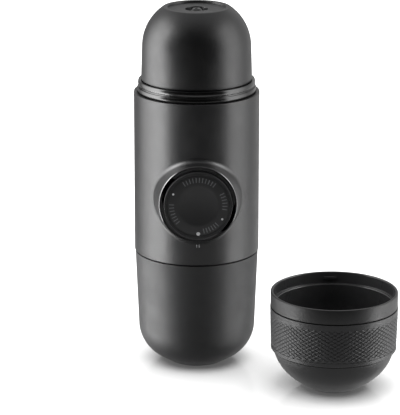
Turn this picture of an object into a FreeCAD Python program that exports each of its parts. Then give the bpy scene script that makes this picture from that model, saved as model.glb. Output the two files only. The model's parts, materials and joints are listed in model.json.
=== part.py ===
import FreeCAD, Part
import math
import os
import re

import Sketcher

# Handheld manual espresso maker: a water tank at the foot, a pump body with a
# push-out piston in its front, a screwed outlet head over the filter basket,
# and the cup, which is the cap of the head, standing beside it.
#
# +Z is up and the axis of the pump body is the Z axis, with the tank's foot on
# Z = 0. The piston leaves the body along -Y. Lengths are in mm, angles in degrees.
# Pieces on the pump's axis are drawn upright and laid over by their Placement, so
# that "out" is their distance from the body's axis.

SIZES = {
    # clearances shared by pieces that mate
    "loose_gap": 0.3,
    "running_gap": 0.06,
    "press_gap": 0.1,
    # water tank
    "tank_height": 54.3,
    "tank_inset": 0.3,
    "tank_taper": 2.3,
    "tank_bend_radius": 17.7,
    "tank_bend_height": 18.5,
    "tank_flank_angle": 58.5,
    "tank_wall": 2.0,
    "tank_floor": 2.5,
    # seam between the tank and the pump body, and the base plate behind it
    "seam_gap": 0.8,
    "seam_depth": 1.2,
    "base_thickness": 3.5,
    "spigot_depth": 7.6,
    "spigot_wall": 2.0,
    "tank_seal_width": 1.6,
    "tank_seal_drop": 3.8,
    # pump body shell
    "body_radius": 29.25,
    "shell_wall": 1.6,
    "shell_height": 76.05,
    "shell_edge_round": 0.25,
    # boss round the piston
    "pump_above_base": 26.95,
    "boss_reach": 4.75,
    "boss_radius": 18.0,
    "boss_draft": 10.0,
    "boss_foot_round": 2.6,
    "boss_bore_radius": 17.5,
    # threaded neck and group head
    "collar_flange_height": 3.5,
    "collar_ledge_drop": 1.15,
    "collar_wall": 3.4,
    "ridge_inset": 1.55,
    "ridge_step": 0.4,
    "ridge_lift": 0.05,
    "ridge_height": 2.45,
    "ridge_groove": 0.6,
    "ridge_groove_depth": 0.5,
    "ridge_crown": 0.3,
    "group_hub_height": 6.0,
    "group_plate_thickness": 3.0,
    "screen_ledge": 1.8,
    "group_chamber_depth": 2.0,
    "screen_inset": 3.6,
    "screen_thickness": 0.8,
    "screen_hole_radius": 0.8,
    "screen_hole_ring": 7.0,
    "gasket_width": 2.8,
    "gasket_thickness": 1.5,
    # filter basket, mouth down
    "basket_inset": 1.6,
    "basket_rim_width": 2.2,
    "basket_height": 20.0,
    "basket_sheet": 0.6,
    "basket_rim_thickness": 0.8,
    "basket_hole_radius": 0.7,
    "basket_hole_ring": 5.2,
    # outlet head
    "dome_inset": 1.5,
    "dome_shoulder": 0.8,
    "dome_taper": 1.8,
    "dome_wall": 1.8,
    "dome_bend_drop": 18.5,
    "dome_bend_radius": 22.3,
    "dome_crown_width": 12.4,
    "dome_recess_depth": 1.0,
    "dome_edge_round": 0.5,
    "well_radius": 5.3,
    "nozzle_plate_radius": 8.5,
    "nozzle_plate_thickness": 2.0,
    "nozzle_base_radius": 3.6,
    "nozzle_tip_radius": 1.7,
    "nozzle_height": 2.0,
    "nozzle_bore_radius": 0.9,
    "liner_wall": 1.2,
    "liner_rim_thickness": 2.0,
    "liner_roof_gap": 2.5,
    "liner_roof_thickness": 1.6,
    "liner_chamfer": 2.6,
    "valve_tube_height": 7.4,
    "valve_tube_radius": 4.6,
    "valve_tube_bore": 3.2,
    "crema_seat_radius": 1.8,
    "crema_disc_radius": 2.7,
    "crema_disc_thickness": 1.2,
    "crema_stem_radius": 0.9,
    "crema_stem_length": 3.2,
    "crema_spring_radius": 1.9,
    # piston pump
    "frame_thickness": 2.0,
    "frame_inset": 5.15,
    "post_inset": 5.75,
    "post_radius": 3.0,
    "guide_wall": 1.3,
    "guide_out": 19.4,
    "pump_bore_radius": 6.5,
    "pump_tube_wall": 2.0,
    "pump_inset": 15.65,
    "pump_tube_out": 16.0,
    "pump_end_wall": 2.0,
    "cap_thickness": 2.0,
    "rod_radius": 3.0,
    "piston_length": 5.0,
    "piston_end_gap": 0.5,
    "piston_seal_width": 1.5,
    # knob
    "knob_radius": 15.7,
    "knob_proud": 2.0,
    "knob_in": 8.0,
    "knob_wall": 1.3,
    "knob_edge_round": 0.25,
    "knob_web_thickness": 2.2,
    "knob_hub_radius": 5.5,
    "knob_hub_length": 5.0,
    "face_thickness": 1.7,
    "dish_radius": 8.7,
    "dish_depth": 0.8,
    "lug_height": 2.0,
    "lug_reach": 1.5,
    "lug_half_width": 4.0,
    "rod_screw_radius": 1.5,
    "rod_screw_length": 8.0,
    "rod_screw_head_radius": 4.4,
    "rod_screw_head_thickness": 1.0,
    "lock_ring_setback": 0.6,
    "lock_ring_thickness": 1.8,
    "lock_notch_width": 9.0,
    "lock_notch_angle": 150.0,
    # springs
    "return_spring_radius": 12.0,
    "return_spring_wire": 1.5,
    "return_spring_pitch": 4.8,
    "small_spring_wire": 0.45,
    "small_spring_radius": 1.65,
    "small_spring_pitch": 1.2,
    # valve block with two ball valves
    "valve_inset": 9.15,
    "valve_block_radius": 4.4,
    "valve_block_half_height": 13.5,
    "valve_foot_radius": 6.0,
    "chamber_radius": 2.4,
    "chamber_height": 6.0,
    "chamber_offset": 4.5,
    "passage_radius": 1.5,
    "ball_radius": 2.0,
    "ball_seat_gap": 0.05,
    # hoses, strainer and vent
    "nipple_radius": 2.4,
    "nipple_length": 4.0,
    "hose_wall": 1.2,
    "strainer_radius": 3.6,
    "strainer_height": 2.4,
    "strainer_sheet": 0.8,
    "strainer_hole_radius": 0.45,
    "strainer_hole_ring": 1.9,
    "vent_inset": 11.65,
    "vent_radius": 1.6,
    "vent_cap_radius": 4.0,
    "vent_crown_radius": 2.4,
    "vent_cap_thickness": 1.0,
    # screws
    "chassis_screw_radius": 1.2,
    "lower_screw_length": 10.0,
    "upper_screw_length": 16.0,
    "chassis_head_radius": 1.8,
    "chassis_head_thickness": 1.6,
    "pilot_spare": 0.5,
    "screen_screw_radius": 1.5,
    "screen_screw_length": 7.0,
    "screen_head_radius": 2.6,
    "screen_head_thickness": 1.4,
    # cup
    "cup_across": 62.5,
    "cup_forward": 40.0,
    "cup_height": 45.9,
    "cup_rim_gap": 0.3,
    "cup_rim_height": 6.75,
    "cup_rim_wall": 1.3,
    "cup_wall": 1.8,
    "cup_floor": 2.2,
    "cup_ledge_drop": 5.5,
    "cup_bend_radius": 21.94,
    "cup_bend_inset": 0.9,
    "cup_bend_height": 23.0,
    "cup_flank_angle": 47.3,
    "cup_belly_radius": 47.0,
    "cup_lug_reach": 0.6,
    "cup_lug_height": 1.6,
    "cup_lug_half_width": 3.0,
    "cup_lug_drop": 2.2,
    "band_proud": 0.15,
    "band_height": 20.6,
    "band_lean": 0.45,
    "band_chamfer": 0.6,
    "band_groove": 0.45,
    "band_seat_depth": 1.6,
}

DOC = FreeCAD.newDocument("espresso_maker")
SHEET = DOC.addObject("Spreadsheet::Sheet", "Sizes")
for row, (alias, size) in enumerate(SIZES.items(), start=1):
    SHEET.set(f"A{row}", alias)
    SHEET.set(f"B{row}", str(size))
    SHEET.setAlias(f"B{row}", alias)
DOC.recompute()

PIECES = []


# Heights and radii that several pieces share, as expressions in the sheet's names.
BODY_BOTTOM = "(tank_height + seam_gap)"
BASE_TOP = f"({BODY_BOTTOM} + base_thickness)"
PUMP_HEIGHT = f"({BASE_TOP} + pump_above_base)"
SHELL_TOP = f"({BODY_BOTTOM} + shell_height)"
SHELL_BORE = "(body_radius - shell_wall)"
TANK_MOUTH = "(body_radius - tank_inset)"
TANK_BORE = f"({TANK_MOUTH} - tank_wall / cos(tank_taper))"
SPIGOT = f"({TANK_BORE} - spigot_depth * tan(tank_taper) - loose_gap)"
SEAL_HEIGHT = "(tank_height - tank_seal_drop)"
COLLAR_LEDGE = f"({SHELL_TOP} - collar_ledge_drop)"
HUB_BOTTOM = f"({COLLAR_LEDGE} - group_hub_height)"
RIDGE_BOTTOM = f"({SHELL_TOP} + ridge_lift)"
GROUP_TOP = f"({COLLAR_LEDGE} + group_plate_thickness)"
BASKET_BOTTOM = f"({GROUP_TOP} + gasket_thickness)"
BASKET_TOP = f"({BASKET_BOTTOM} + basket_height)"
LINER_BOTTOM = f"({BASKET_BOTTOM} + basket_rim_thickness)"
LINER_CEILING = f"({BASKET_TOP} + liner_roof_gap)"
LINER_TOP = f"({LINER_CEILING} + liner_roof_thickness)"
NOZZLE_BOTTOM = f"({LINER_TOP} + valve_tube_height)"
DOME_CEILING = f"({NOZZLE_BOTTOM} + nozzle_plate_thickness)"
RECESS_FLOOR = f"({DOME_CEILING} + dome_wall)"
DOME_TOP = f"({RECESS_FLOOR} + dome_recess_depth)"
LOWER_RIDGE = "(body_radius - ridge_inset)"
UPPER_RIDGE = f"({LOWER_RIDGE} - ridge_step)"
DOME_RADIUS = f"({UPPER_RIDGE} - dome_inset)"
DOME_SKIRT = f"({DOME_RADIUS} - dome_shoulder)"
DOME_RECESS = f"({DOME_RADIUS} - dome_crown_width)"
BASKET_RIM = f"({DOME_SKIRT} - basket_inset)"
BASKET_RADIUS = f"({BASKET_RIM} - basket_rim_width)"
GASKET_INNER = f"({BASKET_RIM} - gasket_width)"
SCREEN_RADIUS = f"({BASKET_RIM} - screen_inset)"
CHAMBER_RADIUS = f"({SCREEN_RADIUS} - screen_ledge)"
POST_OFFSET = f"({SHELL_BORE} - post_inset)"
FRAME_HALF_WIDTH = f"({SHELL_BORE} - frame_inset)"
BOSS_OUT = "(body_radius + boss_reach)"
KNOB_OUT = f"({BOSS_OUT} + knob_proud)"
CUP_RIM = f"({LOWER_RIDGE} + cup_rim_gap + cup_rim_wall)"
CUP_BEND_CENTRE = f"({CUP_RIM} - cup_bend_inset - cup_bend_radius)"
BAND_RADIUS = f"({CUP_RIM} + band_proud)"
BAND_FOOT = f"({BAND_RADIUS} - band_lean)"
BAND_SEAT = f"({CUP_RIM} - band_seat_depth)"
PUMP_IN = f"({SHELL_BORE} - pump_inset)"
VALVE_OFFSET = f"({SHELL_BORE} - valve_inset)"
VENT_OFFSET = f"({SHELL_BORE} - vent_inset)"
PISTON_IN = f"({PUMP_IN} - piston_end_gap)"
PISTON_OUT = f"({PISTON_IN} - piston_length)"
PUMP_TUBE = "(pump_bore_radius + pump_tube_wall)"
WEB_OUT = f"({KNOB_OUT} - face_thickness)"
FACE_RADIUS = "(knob_radius - knob_wall - press_gap)"
WEB_IN = f"({WEB_OUT} - knob_web_thickness)"
HEAD_SEAT = f"({WEB_OUT} - rod_screw_head_thickness - loose_gap)"
ROD_BORE = "(rod_radius + running_gap)"
BALL_RISE = "(sqrt(ball_radius^2 - passage_radius^2) + ball_seat_gap)"
INLET_SEAT = f"({PUMP_HEIGHT} - chamber_offset - chamber_height)"
OUTLET_SEAT = f"({PUMP_HEIGHT} + chamber_offset)"
BLOCK_BOTTOM = f"({PUMP_HEIGHT} - valve_block_half_height)"
BLOCK_TOP = f"({PUMP_HEIGHT} + valve_block_half_height)"
POSTS = ((f"-{POST_OFFSET}", "0"), (POST_OFFSET, "0"))
CUP_BAND_TOP = "(cup_height - cup_rim_height)"
CUP_BAND_FOOT = f"({CUP_BAND_TOP} - band_height)"
CUP_BORE = f"({CUP_BEND_CENTRE} + cup_bend_radius - cup_wall)"
CUP_MOUTH = f"({CUP_RIM} - cup_rim_wall)"
SCREEN_SEAT = f"({GROUP_TOP} - screen_thickness)"
COLLAR_BORE = f"({DOME_SKIRT} + loose_gap)"
COLLAR_TOP = f"({RIDGE_BOTTOM} + 2 * ridge_height + ridge_groove)"


def bound(expression):
    """The expression with the sheet's name before each of its aliases."""
    return re.sub(
        r"[a-z_]+[a-z_0-9]*",
        lambda word: "Sizes." + word[0] if word[0] in SIZES else word[0],
        expression,
    )


def number(expression):
    return float(SHEET.evalExpression(bound(expression)))


def bind(target, path, expression):
    target.setExpression(path, bound(expression))


# ---------------------------------------------------------------- sketches


def plane_of(body, role):
    return next(plane for plane in body.Origin.OriginFeatures if plane.Role == role)


def new_sketch(body, role, lift="0"):
    sketch = body.newObject("Sketcher::SketchObject", body.Name + "_outline")
    sketch.AttachmentSupport = [(plane_of(body, role), "")]
    sketch.MapMode = "FlatFace"
    bind(sketch, "AttachmentOffset.Base.z", lift)
    return sketch


def arc_through(start, end, radius, side):
    """A short arc from start to end, its centre to the left (side 1) or the right (-1)."""
    chord = end - start
    middle = (start + end) * 0.5
    left = FreeCAD.Vector(-chord.y, chord.x, 0).normalize()
    height = math.sqrt(radius**2 - (chord.Length / 2) ** 2)
    centre = middle + left * (side * height)
    crown = centre + (middle - centre).normalize() * radius
    return Part.Arc(start, crown, end)


def draw(sketch, corners):
    """A closed outline. A corner is (across, up), or (across, up, radius, side) where
    the edge that leaves it is an arc."""
    points = [FreeCAD.Vector(number(c[0]), number(c[1]), 0) for c in corners]
    first = sketch.GeometryCount
    for index, corner in enumerate(corners):
        start, end = points[index], points[(index + 1) % len(points)]
        if len(corner) == 2:
            sketch.addGeometry(Part.LineSegment(start, end), False)
        else:
            sketch.addGeometry(arc_through(start, end, number(corner[2]), corner[3]), False)
    ends = []
    for index, corner in enumerate(corners):
        backwards = len(corner) == 4 and corner[3] < 0
        ends.append((2, 1) if backwards else (1, 2))
    for index, corner in enumerate(corners):
        after = (index + 1) % len(corners)
        joint = (first + index, ends[index][1], first + after, ends[after][0])
        sketch.addConstraint(Sketcher.Constraint("Coincident", *joint))
        at = (first + index, ends[index][0])
        hold(sketch, "DistanceX", at, corner[0])
        hold(sketch, "DistanceY", at, corner[1])
        if len(corner) == 4:
            constraint = Sketcher.Constraint("Radius", first + index, number(corner[2]))
            bind(sketch, f"Constraints[{sketch.addConstraint(constraint)}]", corner[2])
    return sketch


def hold(sketch, kind, at, expression):
    constraint = Sketcher.Constraint(kind, -1, 1, *at, number(expression))
    bind(sketch, f"Constraints[{sketch.addConstraint(constraint)}]", expression)


def draw_circle(sketch, across, up, radius):
    centre = FreeCAD.Vector(number(across), number(up), 0)
    circle = Part.Circle(centre, FreeCAD.Vector(0, 0, 1), number(radius))
    index = sketch.addGeometry(circle, False)
    hold(sketch, "DistanceX", (index, 3), across)
    hold(sketch, "DistanceY", (index, 3), up)
    constraint = Sketcher.Constraint("Radius", index, number(radius))
    bind(sketch, f"Constraints[{sketch.addConstraint(constraint)}]", radius)
    return sketch


# ---------------------------------------------------------------- features


def new_body(label):
    body = DOC.addObject("PartDesign::Body", label)
    body.Label = label
    PIECES.append(body)
    return body


def spin(body, corners, kind="Revolution"):
    """A full turn of an outline (radius, height) about the body's Z axis."""
    sketch = draw(new_sketch(body, "XZ_Plane"), corners)
    feature = body.newObject("PartDesign::" + kind, f"{body.Name}_{kind}")
    feature.Profile = sketch
    feature.ReferenceAxis = (sketch, ["V_Axis"])
    feature.Angle = 360
    return feature


def turned(label, corners):
    body = new_body(label)
    spin(body, corners)
    return body


def extrude(body, sketch, length, kind="Pad", backwards=False):
    feature = body.newObject("PartDesign::" + kind, f"{body.Name}_{kind}")
    feature.Profile = sketch
    feature.Reversed = backwards
    bind(feature, "Length", length)
    return feature


def drill(body, holes, low, depth, role="XY_Plane"):
    """Round holes (across, up, radius) cut from height low upwards by depth."""
    sketch = new_sketch(body, role, low)
    for hole in holes:
        draw_circle(sketch, *hole)
    return extrude(body, sketch, depth, "Pocket", backwards=True)


def ring_of(body, feature, count):
    """Repeats a feature round the body's Z axis."""
    pattern = body.newObject("PartDesign::PolarPattern", body.Name + "_ring")
    pattern.Originals = [feature]
    pattern.Axis = (body.Origin.OriginFeatures[2], [""])
    pattern.Angle = 360
    pattern.Occurrences = count
    body.Tip = pattern
    return pattern


def round_edges(body, radius, chosen):
    """Fillets the edges of the body that the test picks."""
    DOC.recompute()
    base = body.Tip
    names = [f"Edge{i}" for i, edge in enumerate(base.Shape.Edges, 1) if chosen(edge)]
    if not names:
        raise ValueError(f"{body.Label}: no edge to round")
    fillet = body.newObject("PartDesign::Fillet", body.Name + "_round")
    fillet.Base = (base, names)
    bind(fillet, "Radius", radius)
    return fillet


def circle_at(height, radius):
    """Picks the round edges at one height and radius."""
    return lambda edge: (
        isinstance(edge.Curve, Part.Circle)
        and abs(edge.CenterOfMass.z - number(height)) < 0.01
        and abs(edge.Curve.Radius - number(radius)) < 0.01
    )


def lay_over(body):
    """Turns an upright piece onto the pump's axis, its top facing out of the body."""
    body.Placement = FreeCAD.Placement(
        FreeCAD.Vector(0, 0, 0), FreeCAD.Rotation(FreeCAD.Vector(1, 0, 0), 90)
    )
    bind(body, "Placement.Base.z", PUMP_HEIGHT)
    return body


def set_down(body, across="0", back="0", up="0"):
    bind(body, "Placement.Base.x", across)
    bind(body, "Placement.Base.y", back)
    bind(body, "Placement.Base.z", up)
    return body


def bowl_curve(mouth, mouth_height, taper, bend, bend_height, foot, inset, down, flank=None):
    """Corners of a tapered wall and the bend tangent to it, from the foot to the mouth.
    down is 1 for a bowl that stands on its foot and -1 for a dome; inset is the depth of
    this surface under the outside. The bend runs on to the foot, or as far as the angle
    of a sloping flank that is tangent to it."""
    centre = (
        f"({mouth} - ({down} * ({mouth_height} - {bend_height}) + {bend} * sin({taper}))"
        f" * tan({taper}) - {bend} * cos({taper}))"
    )
    reach = f"({bend} - {inset})"
    wall_radius = f"({centre} + {reach} * cos({taper}))"
    wall_height = f"({bend_height} - {down} * {reach} * sin({taper}))"
    mouth_radius = f"({mouth} - {inset} / cos({taper}))"
    wall = [(wall_radius, wall_height), (mouth_radius, mouth_height)]
    if flank is None:
        foot_radius = f"({centre} + sqrt({reach}^2 - ({foot} - {bend_height})^2))"
        return [(foot_radius, foot, reach, int(down))] + wall
    flank_radius = f"({centre} + {reach} * cos({flank}))"
    flank_height = f"({bend_height} - {down} * {reach} * sin({flank}))"
    foot_radius = f"({flank_radius} - {down} * ({flank_height} - {foot}) * tan({flank}))"
    return [(foot_radius, foot), (flank_radius, flank_height, reach, int(down))] + wall


def backwards(corners):
    """The same edges drawn the other way round."""
    points = [corner[:2] for corner in corners][::-1]
    edges = [corner[2:] for corner in corners[:-1]][::-1] + [()]
    return [
        point + ((edge[0], -edge[1]) if edge else ()) for point, edge in zip(points, edges)
    ]


def shell_of_revolution(outside, inside, foot, floor):
    """Outline of a bowl or a dome from its outside and inside curves."""
    return [("0", foot)] + outside + backwards(inside) + [("0", floor)]


# ---------------------------------------------------------------- water tank


def tank_shell():
    shape = (
        TANK_MOUTH,
        "tank_height",
        "tank_taper",
        "tank_bend_radius",
        "tank_bend_height",
    )
    outside = bowl_curve(*shape, "0", "0", "1", "tank_flank_angle")
    inside = bowl_curve(*shape, "tank_floor", "tank_wall", "1", "tank_flank_angle")
    return turned("tank_shell", shell_of_revolution(outside, inside, "0", "tank_floor"))


# ---------------------------------------------------------------- pump body


def base_plate():
    """Closes the pump body; its spigot goes into the mouth of the tank."""
    inner = f"({SPIGOT} - spigot_wall)"
    groove = f"({SPIGOT} - tank_seal_width + loose_gap)"
    spigot_bottom = "(tank_height - spigot_depth)"
    body = turned(
        "base_plate",
        [
            ("0", "tank_height"),
            (inner, "tank_height"),
            (inner, spigot_bottom),
            (SPIGOT, spigot_bottom),
            (SPIGOT, f"{SEAL_HEIGHT} - tank_seal_width / 2"),
            (groove, f"{SEAL_HEIGHT} - tank_seal_width / 2"),
            (groove, f"{SEAL_HEIGHT} + tank_seal_width / 2"),
            (SPIGOT, f"{SEAL_HEIGHT} + tank_seal_width / 2"),
            (SPIGOT, "tank_height"),
            ("body_radius - seam_depth", "tank_height"),
            ("body_radius - seam_depth", BODY_BOTTOM),
            (f"{SHELL_BORE} - press_gap", BODY_BOTTOM),
            (f"{SHELL_BORE} - press_gap", BASE_TOP),
            ("0", BASE_TOP),
        ],
    )
    nipple = draw_circle(
        new_sketch(body, "XY_Plane", BASE_TOP), "0", VALVE_OFFSET, "nipple_radius"
    )
    extrude(body, nipple, "nipple_length")
    through = f"{BASE_TOP} - tank_height + nipple_length"
    drill(body, [("0", VALVE_OFFSET, "passage_radius")], "tank_height", through)
    drill(body, [("0", "-" + VENT_OFFSET, "vent_radius")], "tank_height", through)
    shank = "chassis_screw_radius + press_gap"
    head = "chassis_head_radius + press_gap"
    drill(body, [post + (shank,) for post in POSTS], "tank_height", through)
    drill(body, [post + (head,) for post in POSTS], "tank_height", "chassis_head_thickness")
    return body


def tank_seal():
    outer = f"({TANK_BORE} - tank_seal_drop * tan(tank_taper) - running_gap)"
    inner = f"({SPIGOT} - tank_seal_width + loose_gap)"
    half = "(tank_seal_width / 2 - press_gap)"
    crown = f"(({outer} - {inner}) / 2)"
    middle = f"(({outer} + {inner}) / 2)"
    return turned(
        "tank_seal",
        [
            (middle, f"{SEAL_HEIGHT} - {half}"),
            (outer, f"{SEAL_HEIGHT} - {half} / 3"),
            (outer, f"{SEAL_HEIGHT} + {half} / 3"),
            (middle, f"{SEAL_HEIGHT} + {half}"),
            (f"{middle} - {crown}", f"{SEAL_HEIGHT} + {half} / 3"),
            (f"{middle} - {crown}", f"{SEAL_HEIGHT} - {half} / 3"),
        ],
    )


def vent_valve():
    """Rubber umbrella that lets air into the tank as the water is drawn off."""
    stem = "vent_radius - press_gap"
    low = "(tank_height - vent_cap_thickness)"
    top = f"({BASE_TOP} + vent_cap_thickness)"
    body = turned(
        "vent_valve",
        [
            ("0", low),
            ("vent_crown_radius", low),
            ("vent_cap_radius", "tank_height"),
            (stem, "tank_height"),
            (stem, BASE_TOP),
            ("vent_radius + vent_cap_thickness / 2", BASE_TOP),
            (stem, top),
            ("0", top),
        ],
    )
    return set_down(body, back="-" + VENT_OFFSET)


def intake_strainer():
    low = "(tank_height - strainer_height)"
    body = turned(
        "intake_strainer",
        [
            ("0", low),
            ("strainer_radius", low),
            ("strainer_radius", "tank_height"),
            ("strainer_radius - strainer_sheet", "tank_height"),
            ("strainer_radius - strainer_sheet", f"{low} + strainer_sheet"),
            ("0", f"{low} + strainer_sheet"),
        ],
    )
    hole = drill(
        body, [("strainer_hole_ring", "0", "strainer_hole_radius")], low, "strainer_sheet"
    )
    ring_of(body, hole, 6)
    return set_down(body, back=VALVE_OFFSET)


def hose(label, bottom, top):
    """Straight rubber hose pushed over a nipple at each end."""
    outer = "nipple_radius + hose_wall"
    body = turned(
        label,
        [("nipple_radius", bottom), (outer, bottom), (outer, top), ("nipple_radius", top)],
    )
    return set_down(body, back=VALVE_OFFSET)


def body_shell():
    """Outer casing: a tube with the drafted, filleted boss of the piston in its front."""
    body = new_body("body_shell")
    spin(
        body,
        [
            ("0", BODY_BOTTOM),
            ("body_radius", BODY_BOTTOM),
            ("body_radius", SHELL_TOP),
            ("0", SHELL_TOP),
        ],
    )
    boss = draw_circle(
        new_sketch(body, "XZ_Plane", BOSS_OUT), "0", PUMP_HEIGHT, "boss_radius"
    )
    cone = extrude(body, boss, BOSS_OUT, backwards=True)
    bind(cone, "TaperAngle", "boss_draft")
    front = number(BOSS_OUT)
    outside = number("body_radius")

    def boss_foot(edge):
        nearest = min(math.hypot(v.X, v.Y) for v in edge.Vertexes)
        spread = edge.BoundBox.ZLength
        return abs(nearest - outside) < 0.05 and 0.5 * front < spread < 1.9 * front

    round_edges(body, "boss_foot_round", boss_foot)
    round_edges(body, "shell_edge_round", circle_at(SHELL_TOP, "body_radius"))
    bore = [
        ("0", BODY_BOTTOM),
        (SHELL_BORE, BODY_BOTTOM),
        (SHELL_BORE, SHELL_TOP),
        ("0", SHELL_TOP),
    ]
    spin(body, bore, "Groove")
    mouth = draw_circle(
        new_sketch(body, "XZ_Plane", BOSS_OUT), "0", PUMP_HEIGHT, "boss_bore_radius"
    )
    extrude(body, mouth, BOSS_OUT, "Pocket")
    return body


def lock_ring():
    """Glossy ring in the mouth of the boss. The knob's lugs stop against it, and enter
    through its two notches, which lie outside the knob's turn."""
    low = f"{BOSS_OUT} - lock_ring_setback - lock_ring_thickness"
    top = f"{BOSS_OUT} - lock_ring_setback"
    inner = "knob_radius + loose_gap"
    outer = "boss_bore_radius - press_gap / 2"
    body = turned("lock_ring", [(inner, low), (outer, low), (outer, top), (inner, top)])
    half = "lock_notch_width / 2"
    deep = "boss_bore_radius - loose_gap"
    sketch = draw(
        new_sketch(body, "XY_Plane", low),
        [
            ("knob_radius - knob_wall", f"-{half}"),
            (f"sqrt(({deep})^2 - ({half})^2)", f"-{half}", deep, 1),
            (f"sqrt(({deep})^2 - ({half})^2)", half),
            ("knob_radius - knob_wall", half),
        ],
    )
    sketch.AttachmentOffset.Rotation = FreeCAD.Rotation(FreeCAD.Vector(0, 0, 1), 1)
    bind(sketch, "AttachmentOffset.Rotation.Angle", "lock_notch_angle")
    notch = extrude(body, sketch, "lock_ring_thickness", "Pocket", backwards=True)
    ring_of(body, notch, 2)
    return lay_over(body)


def neck_collar():
    """Glossy threaded neck: two ridges outside for the cup, a bore for the outlet head."""
    flange = f"({SHELL_BORE} - press_gap)"
    flange_top = f"({HUB_BOTTOM} + collar_flange_height)"
    lower_top = f"({RIDGE_BOTTOM} + ridge_height)"
    upper_bottom = f"({lower_top} + ridge_groove)"
    crown = "(ridge_height^2 / 8 / ridge_crown + ridge_crown / 2)"
    waist = f"({UPPER_RIDGE} - ridge_groove_depth)"
    return turned(
        "neck_collar",
        [
            (f"{flange} - collar_wall", HUB_BOTTOM),
            (flange, HUB_BOTTOM),
            (flange, flange_top),
            (f"{LOWER_RIDGE} - ridge_crown", flange_top),
            (f"{LOWER_RIDGE} - ridge_crown", RIDGE_BOTTOM, crown, 1),
            (f"{LOWER_RIDGE} - ridge_crown", lower_top),
            (waist, lower_top),
            (waist, upper_bottom),
            (f"{UPPER_RIDGE} - ridge_crown", upper_bottom, crown, 1),
            (f"{UPPER_RIDGE} - ridge_crown", COLLAR_TOP),
            (COLLAR_BORE, COLLAR_TOP),
            (COLLAR_BORE, COLLAR_LEDGE),
            (f"{flange} - collar_wall", COLLAR_LEDGE),
        ],
    )


def group_head():
    """Carries the shower screen; the hose brings the hot water in from below."""
    hub = f"({SHELL_BORE} - collar_wall - loose_gap)"
    floor = f"({SCREEN_SEAT} - group_chamber_depth)"
    plate = f"{COLLAR_BORE} - press_gap"
    body = turned(
        "group_head",
        [
            ("0", HUB_BOTTOM),
            (hub, HUB_BOTTOM),
            (hub, COLLAR_LEDGE),
            (plate, COLLAR_LEDGE),
            (plate, GROUP_TOP),
            (f"{SCREEN_RADIUS} + press_gap", GROUP_TOP),
            (f"{SCREEN_RADIUS} + press_gap", SCREEN_SEAT),
            (CHAMBER_RADIUS, SCREEN_SEAT),
            (CHAMBER_RADIUS, floor),
            ("0", floor),
        ],
    )
    screen_boss = new_sketch(body, "XY_Plane", floor)
    draw_circle(screen_boss, "0", "0", "screen_head_radius")
    extrude(body, screen_boss, "group_chamber_depth")
    nipple = new_sketch(body, "XY_Plane", HUB_BOTTOM)
    draw_circle(nipple, "0", VALVE_OFFSET, "nipple_radius")
    extrude(body, nipple, "nipple_length", backwards=True)
    nipple_end = f"{HUB_BOTTOM} - nipple_length"
    rise = f"{floor} - {HUB_BOTTOM} + nipple_length"
    drill(body, [("0", VALVE_OFFSET, "passage_radius")], nipple_end, rise)
    screw = "screen_screw_radius + press_gap"
    drill(body, [("0", "0", screw)], f"{GROUP_TOP} - screen_screw_length", "screen_screw_length")
    shank = "chassis_screw_radius + press_gap"
    head = "chassis_head_radius + press_gap"
    head_seat = f"{GROUP_TOP} - chassis_head_thickness"
    through = f"{GROUP_TOP} - {HUB_BOTTOM}"
    drill(body, [post + (shank,) for post in POSTS], HUB_BOTTOM, through)
    drill(body, [post + (head,) for post in POSTS], head_seat, "chassis_head_thickness")
    return body


def shower_screen():
    hole = "screen_screw_radius + press_gap"
    body = turned(
        "shower_screen",
        [
            (hole, SCREEN_SEAT),
            (SCREEN_RADIUS, SCREEN_SEAT),
            (SCREEN_RADIUS, GROUP_TOP),
            (hole, GROUP_TOP),
        ],
    )
    for ring in (1, 2):
        at = (f"screen_hole_ring * {ring}", "0", "screen_hole_radius")
        ring_of(body, drill(body, [at], SCREEN_SEAT, "screen_thickness"), 8 * ring)
    return body


def screen_screw():
    top = f"{GROUP_TOP} + screen_head_thickness"
    tip = f"{GROUP_TOP} - screen_screw_length"
    body = turned(
        "screen_screw",
        [
            ("0", tip),
            ("screen_screw_radius", tip),
            ("screen_screw_radius", GROUP_TOP),
            ("screen_head_radius", GROUP_TOP),
            ("screen_head_radius", top),
            ("0", top),
        ],
    )
    round_edges(body, "screen_head_thickness / 3", circle_at(top, "screen_head_radius"))
    return body


def group_gasket():
    return turned(
        "group_gasket",
        [
            (GASKET_INNER, GROUP_TOP),
            (BASKET_RIM, GROUP_TOP),
            (BASKET_RIM, BASKET_BOTTOM),
            (GASKET_INNER, BASKET_BOTTOM),
        ],
    )


def chassis_screws():
    """Two screws from below and two from above hold the pump frame between its plates."""
    screws = []
    for side, (across, _) in zip(("left", "right") * 2, POSTS * 2):
        lower = len(screws) < 2
        seat = "tank_height" if lower else f"({GROUP_TOP} - chassis_head_thickness)"
        length = "lower_screw_length" if lower else "upper_screw_length"
        start = f"{seat} + chassis_head_thickness" if lower else f"{seat} - {length}"
        name = f"{'lower' if lower else 'upper'}_screw_{side}"
        head = cylinder(name + "_head", "chassis_head_radius", "chassis_head_thickness")
        shank = cylinder(name + "_shank", "chassis_screw_radius", length)
        set_down(head, across, "0", seat)
        set_down(shank, across, "0", start)
        screws.append(joined(name, [head, shank]))
    group = DOC.addObject("Part::Compound", "chassis_screws")
    group.Links = screws
    PIECES.append(group)
    return group


# ---------------------------------------------------------------- pump


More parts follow.
